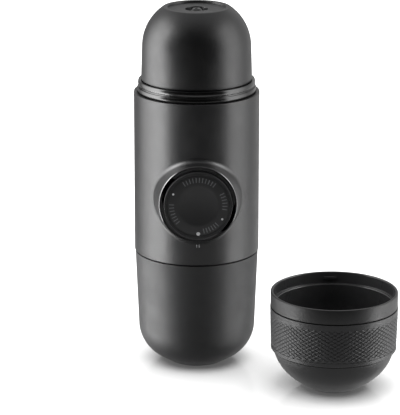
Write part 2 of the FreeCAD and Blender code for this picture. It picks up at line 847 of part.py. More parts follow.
def pump_frame():
    """One moulding: the bulkhead that joins base plate and group head, the pump's
    cylinder, and the tube that guides the skirt of the knob round it."""
    body = new_body("pump_frame")
    low = "(-pump_above_base)"
    high = f"({HUB_BOTTOM} - {PUMP_HEIGHT})"
    plate = draw(
        new_sketch(body, "XY_Plane"),
        [
            (f"-{FRAME_HALF_WIDTH}", low),
            (FRAME_HALF_WIDTH, low),
            (FRAME_HALF_WIDTH, high),
            (f"-{FRAME_HALF_WIDTH}", high),
        ],
    )
    extrude(body, plate, "frame_thickness")
    posts = new_sketch(body, "XZ_Plane", f"-{low}")
    for across, _ in POSTS:
        draw_circle(posts, across, "0", "post_radius")
    extrude(body, posts, f"{high} - {low}", backwards=True)
    end = f"-({PUMP_IN} + pump_end_wall)"
    guide = "(boss_bore_radius + guide_wall)"
    spin(
        body,
        [
            ("0", end),
            (PUMP_TUBE, end),
            (PUMP_TUBE, "0"),
            (guide, "0"),
            (guide, "guide_out"),
            ("boss_bore_radius", "guide_out"),
            ("boss_bore_radius", "frame_thickness"),
            (PUMP_TUBE, "frame_thickness"),
            (PUMP_TUBE, "pump_tube_out"),
            ("0", "pump_tube_out"),
        ],
    )
    spin(
        body,
        [
            ("0", "-" + PUMP_IN),
            ("pump_bore_radius", "-" + PUMP_IN),
            ("pump_bore_radius", "pump_tube_out"),
            ("0", "pump_tube_out"),
        ],
        "Groove",
    )
    drill(body, [("0", "0", "passage_radius")], end, "pump_end_wall")
    lower_plate = f"({BASE_TOP} - tank_height - chassis_head_thickness)"
    upper_plate = f"({GROUP_TOP} - chassis_head_thickness - {HUB_BOTTOM})"
    pilot_hole(body, f"-{low}", f"lower_screw_length - {lower_plate}", False)
    pilot_hole(body, f"-{high}", f"upper_screw_length - {upper_plate}", True)
    return lay_over(body)


def pilot_hole(body, lift, grip, from_top):
    """Holes in both posts for the length of screw that the plate leaves over."""
    sketch = new_sketch(body, "XZ_Plane", lift)
    for across, _ in POSTS:
        draw_circle(sketch, across, "0", "chassis_screw_radius + press_gap")
    return extrude(body, sketch, f"{grip} + pilot_spare", "Pocket", backwards=from_top)


def cylinder_cap():
    """Bush that guides the rod and stops the piston at the end of its stroke."""
    top = "pump_tube_out + cap_thickness"
    return lay_over(
        turned(
            "cylinder_cap",
            [
                (ROD_BORE, "pump_tube_out"),
                (PUMP_TUBE, "pump_tube_out"),
                (PUMP_TUBE, top),
                (ROD_BORE, top),
            ],
        )
    )


def coil(label, radius, wire, pitch, start, height):
    """Round-wire compression spring about the body's Z axis."""
    body = new_body(label)
    sketch = draw_circle(new_sketch(body, "XZ_Plane"), radius, start, f"{wire} / 2")
    helix = body.newObject("PartDesign::AdditiveHelix", label + "_helix")
    helix.Profile = sketch
    helix.ReferenceAxis = (sketch, ["V_Axis"])
    helix.Mode = "pitch-height-angle"
    bind(helix, "Pitch", pitch)
    bind(helix, "Height", height)
    return body


def return_spring():
    """Pushes the knob out of the body once it is unlocked."""
    wire = "return_spring_wire"
    start = f"frame_thickness + {wire} / 2 + press_gap"
    height = f"{WEB_IN} - frame_thickness - {wire} - press_gap * 2"
    spring = coil(
        "return_spring", "return_spring_radius", wire, "return_spring_pitch", start, height
    )
    return lay_over(spring)


def piston_rod():
    """Piston with the groove of its seal, and the rod that carries the knob."""
    piston = "(pump_bore_radius - loose_gap)"
    groove = f"({piston} - piston_seal_width + loose_gap)"
    middle = f"(-({PISTON_IN} + {PISTON_OUT}) / 2)"
    body = turned(
        "piston_rod",
        [
            ("0", f"-{PISTON_IN}"),
            (piston, f"-{PISTON_IN}"),
            (piston, f"{middle} - piston_seal_width / 2"),
            (groove, f"{middle} - piston_seal_width / 2"),
            (groove, f"{middle} + piston_seal_width / 2"),
            (piston, f"{middle} + piston_seal_width / 2"),
            (piston, f"-{PISTON_OUT}"),
            ("rod_radius", f"-{PISTON_OUT}"),
            ("rod_radius", HEAD_SEAT),
            ("0", HEAD_SEAT),
        ],
    )
    hole = [("0", "0", "rod_screw_radius + press_gap")]
    drill(body, hole, f"{HEAD_SEAT} - rod_screw_length", "rod_screw_length")
    return lay_over(body)


def piston_seal():
    inner = "(pump_bore_radius - piston_seal_width)"
    outer = "(pump_bore_radius - running_gap)"
    middle = f"(-({PISTON_IN} + {PISTON_OUT}) / 2)"
    half = "(piston_seal_width / 2 - press_gap)"
    return lay_over(
        turned(
            "piston_seal",
            [
                (f"({inner} + {outer}) / 2", f"{middle} - {half}"),
                (outer, f"{middle} - {half} / 3"),
                (outer, f"{middle} + {half} / 3"),
                (f"({inner} + {outer}) / 2", f"{middle} + {half}"),
                (inner, f"{middle} + {half} / 3"),
                (inner, f"{middle} - {half} / 3"),
            ],
        )
    )


def knob_screw():
    """Shouldered screw in the end of the rod; the knob turns under its head."""
    top = f"{HEAD_SEAT} + rod_screw_head_thickness"
    tip = f"{HEAD_SEAT} - rod_screw_length"
    return lay_over(
        turned(
            "knob_screw",
            [
                ("0", tip),
                ("rod_screw_radius", tip),
                ("rod_screw_radius", HEAD_SEAT),
                ("rod_screw_head_radius", HEAD_SEAT),
                ("rod_screw_head_radius", top),
                ("0", top),
            ],
        )
    )


def knob_body():
    """Cup-shaped push knob: a skirt with two locking lugs, a web and a hub for the rod."""
    skirt = "(knob_radius - knob_wall)"
    seat = f"({FACE_RADIUS} + press_gap / 2)"
    hub_end = f"({WEB_IN} - knob_hub_length)"
    head_hole = "(rod_screw_head_radius + loose_gap)"
    body = turned(
        "knob_body",
        [
            (ROD_BORE, hub_end),
            ("knob_hub_radius", hub_end),
            ("knob_hub_radius", WEB_IN),
            (skirt, WEB_IN),
            (skirt, "knob_in"),
            ("knob_radius", "knob_in"),
            ("knob_radius", KNOB_OUT),
            (seat, KNOB_OUT),
            (seat, WEB_OUT),
            (head_hole, WEB_OUT),
            (head_hole, HEAD_SEAT),
            (ROD_BORE, HEAD_SEAT),
        ],
    )
    round_edges(body, "knob_edge_round", circle_at(KNOB_OUT, "knob_radius"))
    reach = "(knob_radius + lug_reach)"
    crest = f"sqrt({reach}^2 - lug_half_width^2)"
    root = "knob_radius - knob_wall / 2"
    lug = draw(
        new_sketch(body, "XY_Plane", "knob_in"),
        [
            ("-lug_half_width", root),
            ("lug_half_width", root),
            ("lug_half_width", crest, reach, 1),
            ("-lug_half_width", crest),
        ],
    )
    ring_of(body, extrude(body, lug, "lug_height"), 2)
    return lay_over(body)


def knob_face():
    """Pressed-in face plate with the thumb dish."""
    dish = "((dish_radius^2 + dish_depth^2) / (2 * dish_depth))"
    return lay_over(
        turned(
            "knob_face",
            [
                ("0", WEB_OUT),
                (FACE_RADIUS, WEB_OUT),
                (FACE_RADIUS, KNOB_OUT),
                ("dish_radius", KNOB_OUT, dish, -1),
                ("0", f"{KNOB_OUT} - dish_depth"),
            ],
        )
    )


# ---------------------------------------------------------------- valves


def cylinder(name, radius, height):
    solid = DOC.addObject("Part::Cylinder", name)
    bind(solid, "Radius", radius)
    bind(solid, "Height", height)
    return solid


def joined(name, solids):
    union = DOC.addObject("Part::MultiFuse", name)
    union.Shapes = solids
    return union


def across_block(solid, start):
    """Lays a cylinder along +Y, from its start, at the height of the pump."""
    solid.Placement.Rotation = FreeCAD.Rotation(FreeCAD.Vector(1, 0, 0), -90)
    return set_down(solid, "0", start, PUMP_HEIGHT)


def valve_block():
    """Upright block behind the pump: water rises through two ball valves in line, and the
    cross port between them opens into the cylinder."""
    pump_end = f"{PUMP_IN} + pump_end_wall"
    length = f"{BLOCK_TOP} - {BLOCK_BOTTOM}"
    column = cylinder("valve_column", "valve_block_radius", length)
    set_down(column, "0", VALVE_OFFSET, BLOCK_BOTTOM)
    nipples = cylinder("valve_nipples", "nipple_radius", f"{length} + 2 * nipple_length")
    set_down(nipples, "0", VALVE_OFFSET, f"{BLOCK_BOTTOM} - nipple_length")
    foot = cylinder("valve_foot", "valve_foot_radius", f"{VALVE_OFFSET} - ({pump_end})")
    across_block(foot, pump_end)
    bore = cylinder("valve_bore", "passage_radius", f"{length} + 2 * nipple_length")
    set_down(bore, "0", VALVE_OFFSET, f"{BLOCK_BOTTOM} - nipple_length")
    port = cylinder("valve_port", "passage_radius", f"{VALVE_OFFSET} - ({pump_end})")
    across_block(port, pump_end)
    hollows = [bore, port]
    for name, seat in (("inlet", INLET_SEAT), ("outlet", OUTLET_SEAT)):
        chamber = cylinder(name + "_chamber", "chamber_radius", "chamber_height")
        hollows.append(set_down(chamber, "0", VALVE_OFFSET, seat))
    block = DOC.addObject("Part::Cut", "valve_block")
    block.Base = joined("valve_solid", [column, nipples, foot])
    block.Tool = joined("valve_hollow", hollows)
    PIECES.append(block)
    return block


def valve_ball(label, seat):
    ball = DOC.addObject("Part::Sphere", label)
    bind(ball, "Radius", "ball_radius")
    PIECES.append(ball)
    return set_down(ball, "0", VALVE_OFFSET, f"{seat} + {BALL_RISE}")


def valve_spring(label, seat):
    """Coil between the ball and the ceiling of its chamber."""
    touch = "sqrt(ball_radius^2 - small_spring_radius^2)"
    start = f"({seat} + {BALL_RISE} + {touch} + small_spring_wire)"
    height = f"{seat} + chamber_height - small_spring_wire - {start}"
    spring = coil(
        label,
        "small_spring_radius",
        "small_spring_wire",
        "small_spring_pitch",
        start,
        height,
    )
    return set_down(spring, "0", VALVE_OFFSET)


# ---------------------------------------------------------------- filter basket


def filter_basket():
    """Pressed steel basket, mouth down on the group gasket, its drilled floor on top."""
    inner = f"{BASKET_RADIUS} - basket_sheet"
    rim_top = f"{BASKET_BOTTOM} + basket_rim_thickness"
    floor = f"{BASKET_TOP} - basket_sheet"
    body = turned(
        "filter_basket",
        [
            (inner, BASKET_BOTTOM),
            (BASKET_RIM, BASKET_BOTTOM),
            (BASKET_RIM, rim_top),
            (BASKET_RADIUS, rim_top),
            (BASKET_RADIUS, BASKET_TOP),
            ("0", BASKET_TOP),
            ("0", floor),
            (inner, floor),
        ],
    )
    drill(body, [("0", "0", "basket_hole_radius")], floor, "basket_sheet")
    for ring in (1, 2, 3):
        at = (f"basket_hole_ring * {ring}", "0", "basket_hole_radius")
        ring_of(body, drill(body, [at], floor, "basket_sheet"), 6 * ring)
    return body


# ---------------------------------------------------------------- outlet head


def outlet_dome():
    """Screwed cap of the head: a skirt inside the collar, the dome over it, and a shallow
    recess with the nozzle's well in its top."""
    shoulder = f"({COLLAR_TOP} + loose_gap)"
    shape = (
        DOME_RADIUS,
        shoulder,
        "dome_taper",
        "dome_bend_radius",
        f"({DOME_TOP} - dome_bend_drop)",
    )
    outside = bowl_curve(*shape, DOME_TOP, "0", "-1")
    inside = bowl_curve(*shape, DOME_CEILING, "dome_wall", "-1")
    bore = inside[-1][0]
    skirt = [
        (DOME_SKIRT, shoulder),
        (DOME_SKIRT, GROUP_TOP),
        (bore, GROUP_TOP),
    ]
    recess = [
        ("well_radius", DOME_CEILING),
        ("well_radius", RECESS_FLOOR),
        (DOME_RECESS, RECESS_FLOOR),
        (DOME_RECESS, DOME_TOP),
    ]
    body = turned("outlet_dome", recess + outside + skirt + backwards(inside))
    round_edges(body, "dome_edge_round", circle_at(DOME_TOP, DOME_RECESS))
    return body


def outlet_liner():
    """Holds the basket down on its gasket and gathers the coffee into the valve."""
    bore = f"({BASKET_RADIUS} + loose_gap * 2)"
    wall = f"({bore} + liner_wall)"
    rim_top = f"({LINER_BOTTOM} + liner_rim_thickness)"
    rim = f"{DOME_RADIUS} - dome_wall / cos(dome_taper) - press_gap"
    return turned(
        "outlet_liner",
        [
            (bore, LINER_BOTTOM),
            (rim, LINER_BOTTOM),
            (rim, rim_top),
            (wall, rim_top),
            (wall, f"{LINER_TOP} - liner_chamfer"),
            (f"{wall} - liner_chamfer", LINER_TOP),
            ("valve_tube_radius", LINER_TOP),
            ("valve_tube_radius", NOZZLE_BOTTOM),
            ("valve_tube_bore", NOZZLE_BOTTOM),
            ("valve_tube_bore", LINER_TOP),
            ("crema_seat_radius", LINER_TOP),
            ("crema_seat_radius", LINER_CEILING),
            (f"{bore} - liner_chamfer", LINER_CEILING),
            (bore, f"{LINER_CEILING} - liner_chamfer"),
        ],
    )


def outlet_nozzle():
    tip = f"{DOME_CEILING} + nozzle_height"
    return turned(
        "outlet_nozzle",
        [
            ("nozzle_bore_radius", NOZZLE_BOTTOM),
            ("nozzle_plate_radius", NOZZLE_BOTTOM),
            ("nozzle_plate_radius", DOME_CEILING),
            ("nozzle_base_radius", DOME_CEILING),
            ("nozzle_tip_radius", tip),
            ("nozzle_bore_radius", tip),
        ],
    )


def crema_valve():
    """Disc that opens only under pressure, on a stem inside its spring."""
    top = f"({LINER_TOP} + crema_disc_thickness)"
    return turned(
        "crema_valve",
        [
            ("0", LINER_TOP),
            ("crema_disc_radius", LINER_TOP),
            ("crema_disc_radius", top),
            ("crema_stem_radius", top),
            ("crema_stem_radius", f"{top} + crema_stem_length"),
            ("0", f"{top} + crema_stem_length"),
        ],
    )


def crema_spring():
    start = f"({LINER_TOP} + crema_disc_thickness + small_spring_wire)"
    height = f"{NOZZLE_BOTTOM} - small_spring_wire - {start}"
    return coil(
        "crema_spring",
        "crema_spring_radius",
        "small_spring_wire",
        "small_spring_pitch",
        start,
        height,
    )


# ---------------------------------------------------------------- cup


def cup_bowl():
    """Bowl-shaped cup whose rim screws over the neck when it is the cap."""
    bend_radius = f"({CUP_BEND_CENTRE} + {{reach}} * cos(cup_flank_angle))"
    bend_height = "(cup_bend_height - {reach} * sin(cup_flank_angle))"
    outer = "cup_bend_radius"
    inner = "(cup_bend_radius - cup_wall)"
    belly = "(cup_belly_radius - cup_wall)"
    flank = (bend_radius.format(reach=outer), bend_height.format(reach=outer))
    belly_across = f"({flank[0]} - cup_belly_radius * cos(cup_flank_angle))"
    belly_up = f"({flank[1]} + cup_belly_radius * sin(cup_flank_angle))"
    foot = f"{belly_across} + sqrt(cup_belly_radius^2 - {belly_up}^2)"
    well = f"{belly_across} + sqrt({belly}^2 - ({belly_up} - cup_floor)^2)"
    shoulder = (
        f"{CUP_BEND_CENTRE} + sqrt({outer}^2 - (cup_bend_height - {CUP_BAND_FOOT})^2)"
    )
    ledge = "cup_height - cup_ledge_drop"
    body = turned(
        "cup_bowl",
        [
            ("0", "0"),
            (foot, "0", "cup_belly_radius", 1),
            flank + (outer, 1),
            (shoulder, CUP_BAND_FOOT),
            (BAND_SEAT, CUP_BAND_FOOT),
            (BAND_SEAT, CUP_BAND_TOP),
            (CUP_RIM, CUP_BAND_TOP),
            (CUP_RIM, "cup_height"),
            (CUP_MOUTH, "cup_height"),
            (CUP_MOUTH, ledge),
            (CUP_BORE, ledge),
            (CUP_BORE, "cup_bend_height", inner, -1),
            (bend_radius.format(reach=inner), bend_height.format(reach=inner), belly, -1),
            (well, "cup_floor"),
            ("0", "cup_floor"),
        ],
    )
    lug = draw(
        new_sketch(body, "XY_Plane", "cup_height - cup_lug_drop - cup_lug_height"),
        [
            ("-cup_lug_half_width", f"{CUP_MOUTH} - cup_lug_reach"),
            ("cup_lug_half_width", f"{CUP_MOUTH} - cup_lug_reach"),
            ("cup_lug_half_width", f"{CUP_MOUTH} + cup_rim_wall / 4"),
            ("-cup_lug_half_width", f"{CUP_MOUTH} + cup_rim_wall / 4"),
        ],
    )
    ring_of(body, extrude(body, lug, "cup_lug_height"), 3)
    return set_down(body, "cup_across", "-cup_forward")


def cup_grip_band():
    """Sleeve round the cup, seated between the rim and the bowl's shoulder."""
    inner = f"({BAND_SEAT} + press_gap / 2)"
    top = f"({CUP_BAND_TOP} - band_groove)"
    body = turned(
        "cup_grip_band",
        [
            (inner, CUP_BAND_FOOT),
            (f"{BAND_FOOT} - band_chamfer", CUP_BAND_FOOT),
            (BAND_FOOT, f"{CUP_BAND_FOOT} + band_chamfer"),
            (BAND_RADIUS, f"{top} - band_chamfer / 3"),
            (f"{BAND_RADIUS} - band_chamfer / 3", top),
            (inner, top),
        ],
    )
    return set_down(body, "cup_across", "-cup_forward")


# ---------------------------------------------------------------- the whole maker


def build():
    tank_shell()
    base_plate()
    tank_seal()
    vent_valve()
    intake_strainer()
    body_shell()
    lock_ring()
    neck_collar()
    group_head()
    shower_screen()
    screen_screw()
    group_gasket()
    pump_frame()
    chassis_screws()
    cylinder_cap()
    return_spring()
    piston_rod()
    piston_seal()
    knob_screw()
    knob_body()
    knob_face()
    valve_block()
    for name, seat in (("inlet", INLET_SEAT), ("outlet", OUTLET_SEAT)):
        valve_ball(name + "_ball", seat)
        valve_spring(name + "_spring", seat)
    hose("inlet_hose", BASE_TOP, BLOCK_BOTTOM)
    hose("outlet_hose", BLOCK_TOP, HUB_BOTTOM)
    filter_basket()
    outlet_dome()
    outlet_liner()
    outlet_nozzle()
    crema_valve()
    crema_spring()
    cup_bowl()
    cup_grip_band()


def check():
    """Stops before anything is written if a feature or a piece has failed."""
    for item in DOC.Objects:
        if "Invalid" in item.State or "Error" in item.State:
            raise ValueError(f"{item.Name} is {item.State}")
    for piece in PIECES:
        if piece.Shape.isNull() or not piece.Shape.isValid():
            raise ValueError(f"{piece.Label} has no valid shape")


def write():
    os.makedirs("parts", exist_ok=True)
    for piece in PIECES:
        piece.Shape.exportStep(f"parts/{piece.Label}.step")
        print(f"{piece.Label}: {len(piece.Shape.Solids)} solid, {piece.Shape.Volume:.1f} mm3")


build()
DOC.recompute()
check()
write()
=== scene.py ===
"""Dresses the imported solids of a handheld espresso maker: moulded shells, glossy neck,
push knob with its print, knurled cup, and a plain studio round them."""

import json
import math

import bmesh
import bpy
from bpy.props import FloatProperty, IntProperty, StringProperty
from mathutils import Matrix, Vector

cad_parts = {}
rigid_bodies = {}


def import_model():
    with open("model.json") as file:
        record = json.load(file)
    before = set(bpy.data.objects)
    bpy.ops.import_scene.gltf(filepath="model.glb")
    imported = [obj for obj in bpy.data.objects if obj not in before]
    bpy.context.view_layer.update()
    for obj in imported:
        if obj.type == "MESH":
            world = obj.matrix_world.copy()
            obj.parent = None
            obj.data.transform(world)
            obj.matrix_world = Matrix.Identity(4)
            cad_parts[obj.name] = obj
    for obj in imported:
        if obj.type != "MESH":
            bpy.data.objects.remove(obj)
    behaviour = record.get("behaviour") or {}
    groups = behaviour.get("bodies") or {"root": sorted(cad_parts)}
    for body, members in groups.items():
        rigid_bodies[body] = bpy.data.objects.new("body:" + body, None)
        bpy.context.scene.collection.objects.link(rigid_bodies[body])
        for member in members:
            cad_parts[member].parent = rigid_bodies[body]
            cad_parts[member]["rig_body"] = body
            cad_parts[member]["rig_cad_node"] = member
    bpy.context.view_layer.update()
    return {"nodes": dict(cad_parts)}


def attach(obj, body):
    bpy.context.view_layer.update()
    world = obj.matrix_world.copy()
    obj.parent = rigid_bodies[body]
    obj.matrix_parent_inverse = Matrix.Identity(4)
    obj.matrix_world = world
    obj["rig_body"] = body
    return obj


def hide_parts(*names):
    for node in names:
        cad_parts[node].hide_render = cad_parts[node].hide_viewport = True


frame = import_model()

bl_info = {
    "name": "Handheld Espresso Maker",
    "version": (1, 0, 0),
    "blender": (4, 5, 0),
    "location": "3D View > Sidebar > Espresso",
    "description": "Models and finishes a handheld piston espresso maker with its cup",
    "category": "Object",
}

MM = 0.001
HAIR = MM / 100  # places closer than this count as the same
WELD = MM / 500  # vertices closer than this are merged
SHARP = math.radians(32)  # shading breaks at edges that turn further
HARD = math.radians(42)  # edges that turn further are softened
FLAT = math.radians(0.2)  # triangles that turn less lie in one face
FINE = 160  # steps round a large turned piece
PLASTIC_IOR = 1.53  # index of refraction of ABS and nylon


# --- values


def length(name, description, mm):
    """A size in millimetres, kept in metres as Blender does."""
    return FloatProperty(name=name, description=description, default=mm * MM, unit="LENGTH")


def angle(name, description, degrees):
    """An angle in degrees, kept in radians."""
    value = math.radians(degrees)
    return FloatProperty(name=name, description=description, default=value, unit="ROTATION")


def power(name, description, watts):
    return FloatProperty(name=name, description=description, default=watts, unit="POWER")


def share(name, description, value):
    return FloatProperty(name=name, description=description, default=value, subtype="FACTOR")


def count(name, description, value):
    return IntProperty(name=name, description=description, default=value)


def colour(name, description, code):
    return StringProperty(name=name, description=description, default=code)


class TankSizes(bpy.types.PropertyGroup):
    height: length("Height", "Foot to mouth of the water tank", 54.3)
    mouth: length("Mouth radius", "Outside radius at the mouth", 28.95)
    taper: angle("Taper", "How far the wall leans in towards the foot", 2.3)
    bend: length("Bend radius", "Outside radius of the bend under the wall", 17.7)
    bend_height: length("Bend height", "Height of the centre of the bend", 18.5)
    flank: angle("Flank angle", "Angle at which the bend meets the flank", 58.5)
    wall: length("Wall", "Thickness of the wall", 2.0)
    floor: length("Floor", "Thickness of the floor", 2.5)
    lip_round: length("Lip round", "Rounding of the lip at the seam", 0.35)
    foot_round: length("Foot round", "Rounding of the edge of the foot", 0.8)


class BodySizes(bpy.types.PropertyGroup):
    radius: length("Radius", "Outside radius of the casing", 29.25)
    edge: length("Edge", "Softened edges of the casing", 0.24)
    bottom: length("Bottom", "Height of the casing's foot", 55.1)
    top: length("Top", "Height of the casing's top", 131.15)
    boss_out: length("Boss", "Distance of the boss's mouth from the casing's axis", 34.0)
    boss_bore: length("Boss bore", "Radius of the boss's bore", 17.5)
    lip: length("Lip", "Chamfer that leads into the boss", 0.42)
    pump_height: length("Pump height", "Height of the pump's axis", 85.55)
    mark_height: length("Mark height", "Height of the index mark under the boss", 64.4)
    mark_length: length("Mark length", "Length of each bar of the index mark", 1.5)
    mark_width: length("Mark width", "Width of each bar of the index mark", 0.34)
    mark_gap: length("Mark gap", "Distance between the two bars", 1.15)
    print_height: length("Print height", "Height of printed marks over the plastic", 0.03)


class NeckSizes(bpy.types.PropertyGroup):
    bottom: length("Bottom", "Height of the neck's root inside the casing", 124.0)
    ledge: length("Ledge", "Height of the ledge for the group plate", 130.0)
    flange: length("Flange radius", "Radius of the flange inside the casing", 27.55)
    flange_top: length("Flange top", "Height of the top of the flange", 127.5)
    inner: length("Inner radius", "Radius of the opening round the group plate", 24.15)
    bore: length("Bore", "Radius of the bore for the outlet head", 25.3)
    lower: length("Lower ridge", "Radius at the crest of the lower ridge", 27.7)
    upper: length("Upper ridge", "Radius at the crest of the upper ridge", 27.3)
    waist: length("Waist", "Radius in the groove between the ridges", 26.8)
    ridge_bottom: length("Ridge bottom", "Height of the foot of the lower ridge", 131.2)
    ridge: length("Ridge height", "Height of each ridge", 2.45)
    groove: length("Groove", "Height of the groove between the ridges", 0.6)
    crown: length("Crown", "How far a ridge swells", 0.3)
    edge: length("Edge", "Rounding of the ridges' edges", 0.55)


class HeadSizes(bpy.types.PropertyGroup):
    skirt: length("Skirt radius", "Radius of the skirt inside the neck", 25.0)
    skirt_bottom: length("Skirt bottom", "Height of the foot of the skirt", 133.0)
    shoulder: length("Shoulder", "Height of the shoulder over the neck", 137.0)
    foot: length("Foot radius", "Outside radius at the shoulder", 25.8)
    taper: angle("Taper", "How far the wall leans in towards the top", 1.8)
    bend: length("Bend radius", "Outside radius of the bend of the dome", 22.3)
    bend_height: length("Bend height", "Height of the centre of the bend", 152.3)
    rim_inner: length("Recess radius", "Radius of the recess in the top", 13.4)
    top: length("Top", "Height of the rim", 170.8)
    recess_floor: length("Recess floor", "Height of the floor of the recess", 169.8)
    well: length("Well radius", "Radius of the well of the nozzle", 5.3)
    ceiling: length("Ceiling", "Height of the inside of the top", 168.0)
    wall: length("Wall", "Thickness of the wall", 1.8)
    rim_round: length("Rim round", "Rounding of the rim of the recess", 0.5)
    plate: length("Plate radius", "Radius of the nozzle's plate", 8.5)
    plate_bottom: length("Plate bottom", "Height of the foot of the nozzle's plate", 166.0)
    nozzle_base: length("Nozzle base", "Radius at the foot of the nozzle", 3.6)
    nozzle_tip: length("Nozzle tip", "Radius at the tip of the nozzle", 1.7)
    nozzle_top: length("Nozzle top", "Height of the nozzle's tip", 170.0)
    nozzle_bore: length("Nozzle bore", "Radius of the spout's hole", 0.9)


class KnobSizes(bpy.types.PropertyGroup):
    front: length("Front", "Distance of the face from the casing's axis", 36.0)
    face: length("Face radius", "Radius of the face plate", 14.3)
    face_back: length("Face back", "Distance of the back of the face plate", 34.3)
    dish: length("Dish radius", "Radius of the thumb dish", 9.4)
    dish_depth: length("Dish depth", "Depth of the thumb dish", 0.8)
    dish_rings: count("Dish rings", "Rings of faces in the dish", 20)
    crown: length("Crown", "How far the face falls away from the dish to its edge", 0.2)
    seam: length("Seam", "Rounding of the plate's edge, seen as a fine line", 0.06)
    print_radius: length("Print radius", "Radius of the printed ring of ticks", 12.2)
    print_lift: length("Print lift", "Thickness of the printed marks", 0.03)
    tick_length: length("Tick length", "Length of a printed tick", 2.3)
    tick_width: length("Tick width", "Width of a printed tick", 0.45)
    tick_step: count("Tick step", "Degrees from one printed tick to the next", 7)
    dot: length("Dot", "Radius of the dot of the locked place", 0.85)
    dot_radius: length("Dot place", "Distance of that dot from the knob's axis", 13.3)
    small_dot: length("Small dot", "Radius of the dots at the ends of the turn", 0.5)
    small_dot_radius: length("Small dot place", "Distance of those from the axis", 12.7)


class CupSizes(bpy.types.PropertyGroup):
    across: length("Across", "Distance of the cup beside the maker", 62.5)
    forward: length("Forward", "Distance of the cup in front of the maker", 40.0)
    height: length("Height", "Height of the cup", 45.9)
    rim: length("Rim radius", "Outside radius of the rim", 29.3)
    mouth: length("Mouth radius", "Inside radius of the mouth", 28.0)
    bore: length("Bore", "Inside radius under the ledge", 26.6)
    ledge: length("Ledge", "Height of the ledge in the mouth", 40.4)
    rim_bottom: length("Rim bottom", "Height of the foot of the rim", 39.15)
    seat: length("Band seat", "Radius of the seat of the grip band", 27.7)
    band_bottom: length("Band bottom", "Height of the foot of the grip band", 18.55)
    gap: length("Gap", "Height of the shadow gap under the band", 0.6)
    gap_root: length("Gap root", "Radius at the root of the shadow gap", 27.25)
    bend_centre: length("Bend centre", "Radius of the centre of the bend", 6.46)
    bend: length("Bend radius", "Outside radius of the bend", 21.94)
    bend_height: length("Bend height", "Height of the centre of the bend", 23.0)
    flank: angle("Flank angle", "Angle at which the bend meets the belly", 47.3)
    belly: length("Belly radius", "Radius of the belly's curve down to the foot", 47.0)
    wall: length("Wall", "Thickness of the wall", 1.8)
    floor: length("Floor", "Thickness of the floor", 2.2)
    rim_round: length("Rim round", "Rounding of the rim", 0.45)
    lug_width: length("Lug width", "Width of each bayonet lug in the mouth", 6.0)
    lug_height: length("Lug height", "Height of each bayonet lug", 1.6)
    lug_bottom: length("Lug bottom", "Height of the foot of the lugs", 42.1)
    lug_reach: length("Lug reach", "How far the lugs stand out of the wall", 0.6)


class KnurlSizes(bpy.types.PropertyGroup):
    top: length("Top", "Height of the top of the band", 38.7)
    radius: length("Top radius", "Outside radius at the top", 29.45)
    foot_radius: length("Foot radius", "Outside radius at the foot", 29.0)
    inner: length("Inner radius", "Inside radius of the band", 27.75)
    chamfer: length("Chamfer", "Chamfer at the foot", 0.35)
    columns: count("Columns", "Half diamonds round the band", 116)
    rows: count("Half rows", "Half diamonds up the band", 17)
    over: length("Plain top", "Plain edge over the diamonds", 2.6)
    under: length("Plain foot", "Plain edge under the diamonds", 1.9)
    depth: length("Depth", "Depth of the grooves between diamonds", 0.06)
    pit: length("Pit", "How much deeper the grooves are where they cross", 0.32)
    groove: length("Groove", "Half width of a groove between diamonds", 0.3)


class Finishes(bpy.types.PropertyGroup):
    casing: colour("Casing", "Charcoal of the casing", "#0c0c0d")
    cup: colour("Cup", "Charcoal of the cup", "#171718")
    tank: colour("Tank", "Charcoal of the water tank", "#1d1d1e")
    dome: colour("Dome", "Charcoal of the outlet head", "#0e0e0f")
    # Paler than the cup's outside: painted light inside the shaded cup.
    inside: colour("Inside", "Charcoal of the inside of the cup", "#373738")
    knob: colour("Knob", "Black of the push knob", "#1b1b1c")
    neck: colour("Neck", "Black of the polished neck", "#0a0a0a")
    # Paler than the neck: painted light for the lock ring in the shaded gap round the knob.
    ring: colour("Ring", "Charcoal of the lock ring", "#3a3a3b")
    knurl: colour("Knurl", "Charcoal of the grip band", "#282829")
    nylon: colour("Nylon", "Black of the inner mouldings", "#1c1c1d")
    silicone: colour("Silicone", "Grey of the seals and hoses", "#8c8c8a")
    steel: colour("Steel", "Stainless steel", "#c9c7c4")
    ink: colour("Ink", "Pale grey of the print", "#cfd0d2")
    rubbed_ink: colour("Rubbed ink", "Grey of the index mark", "#838486")
    faint_ink: colour("Faint ink", "Worn grey of the ring of ticks", "#606163")
    gloss: share("Gloss", "Roughness of the casing", 0.36)
    satin: share("Satin", "Roughness of the other eroded shells", 0.39)
    matt: share("Matt", "Roughness of the tank", 0.5)


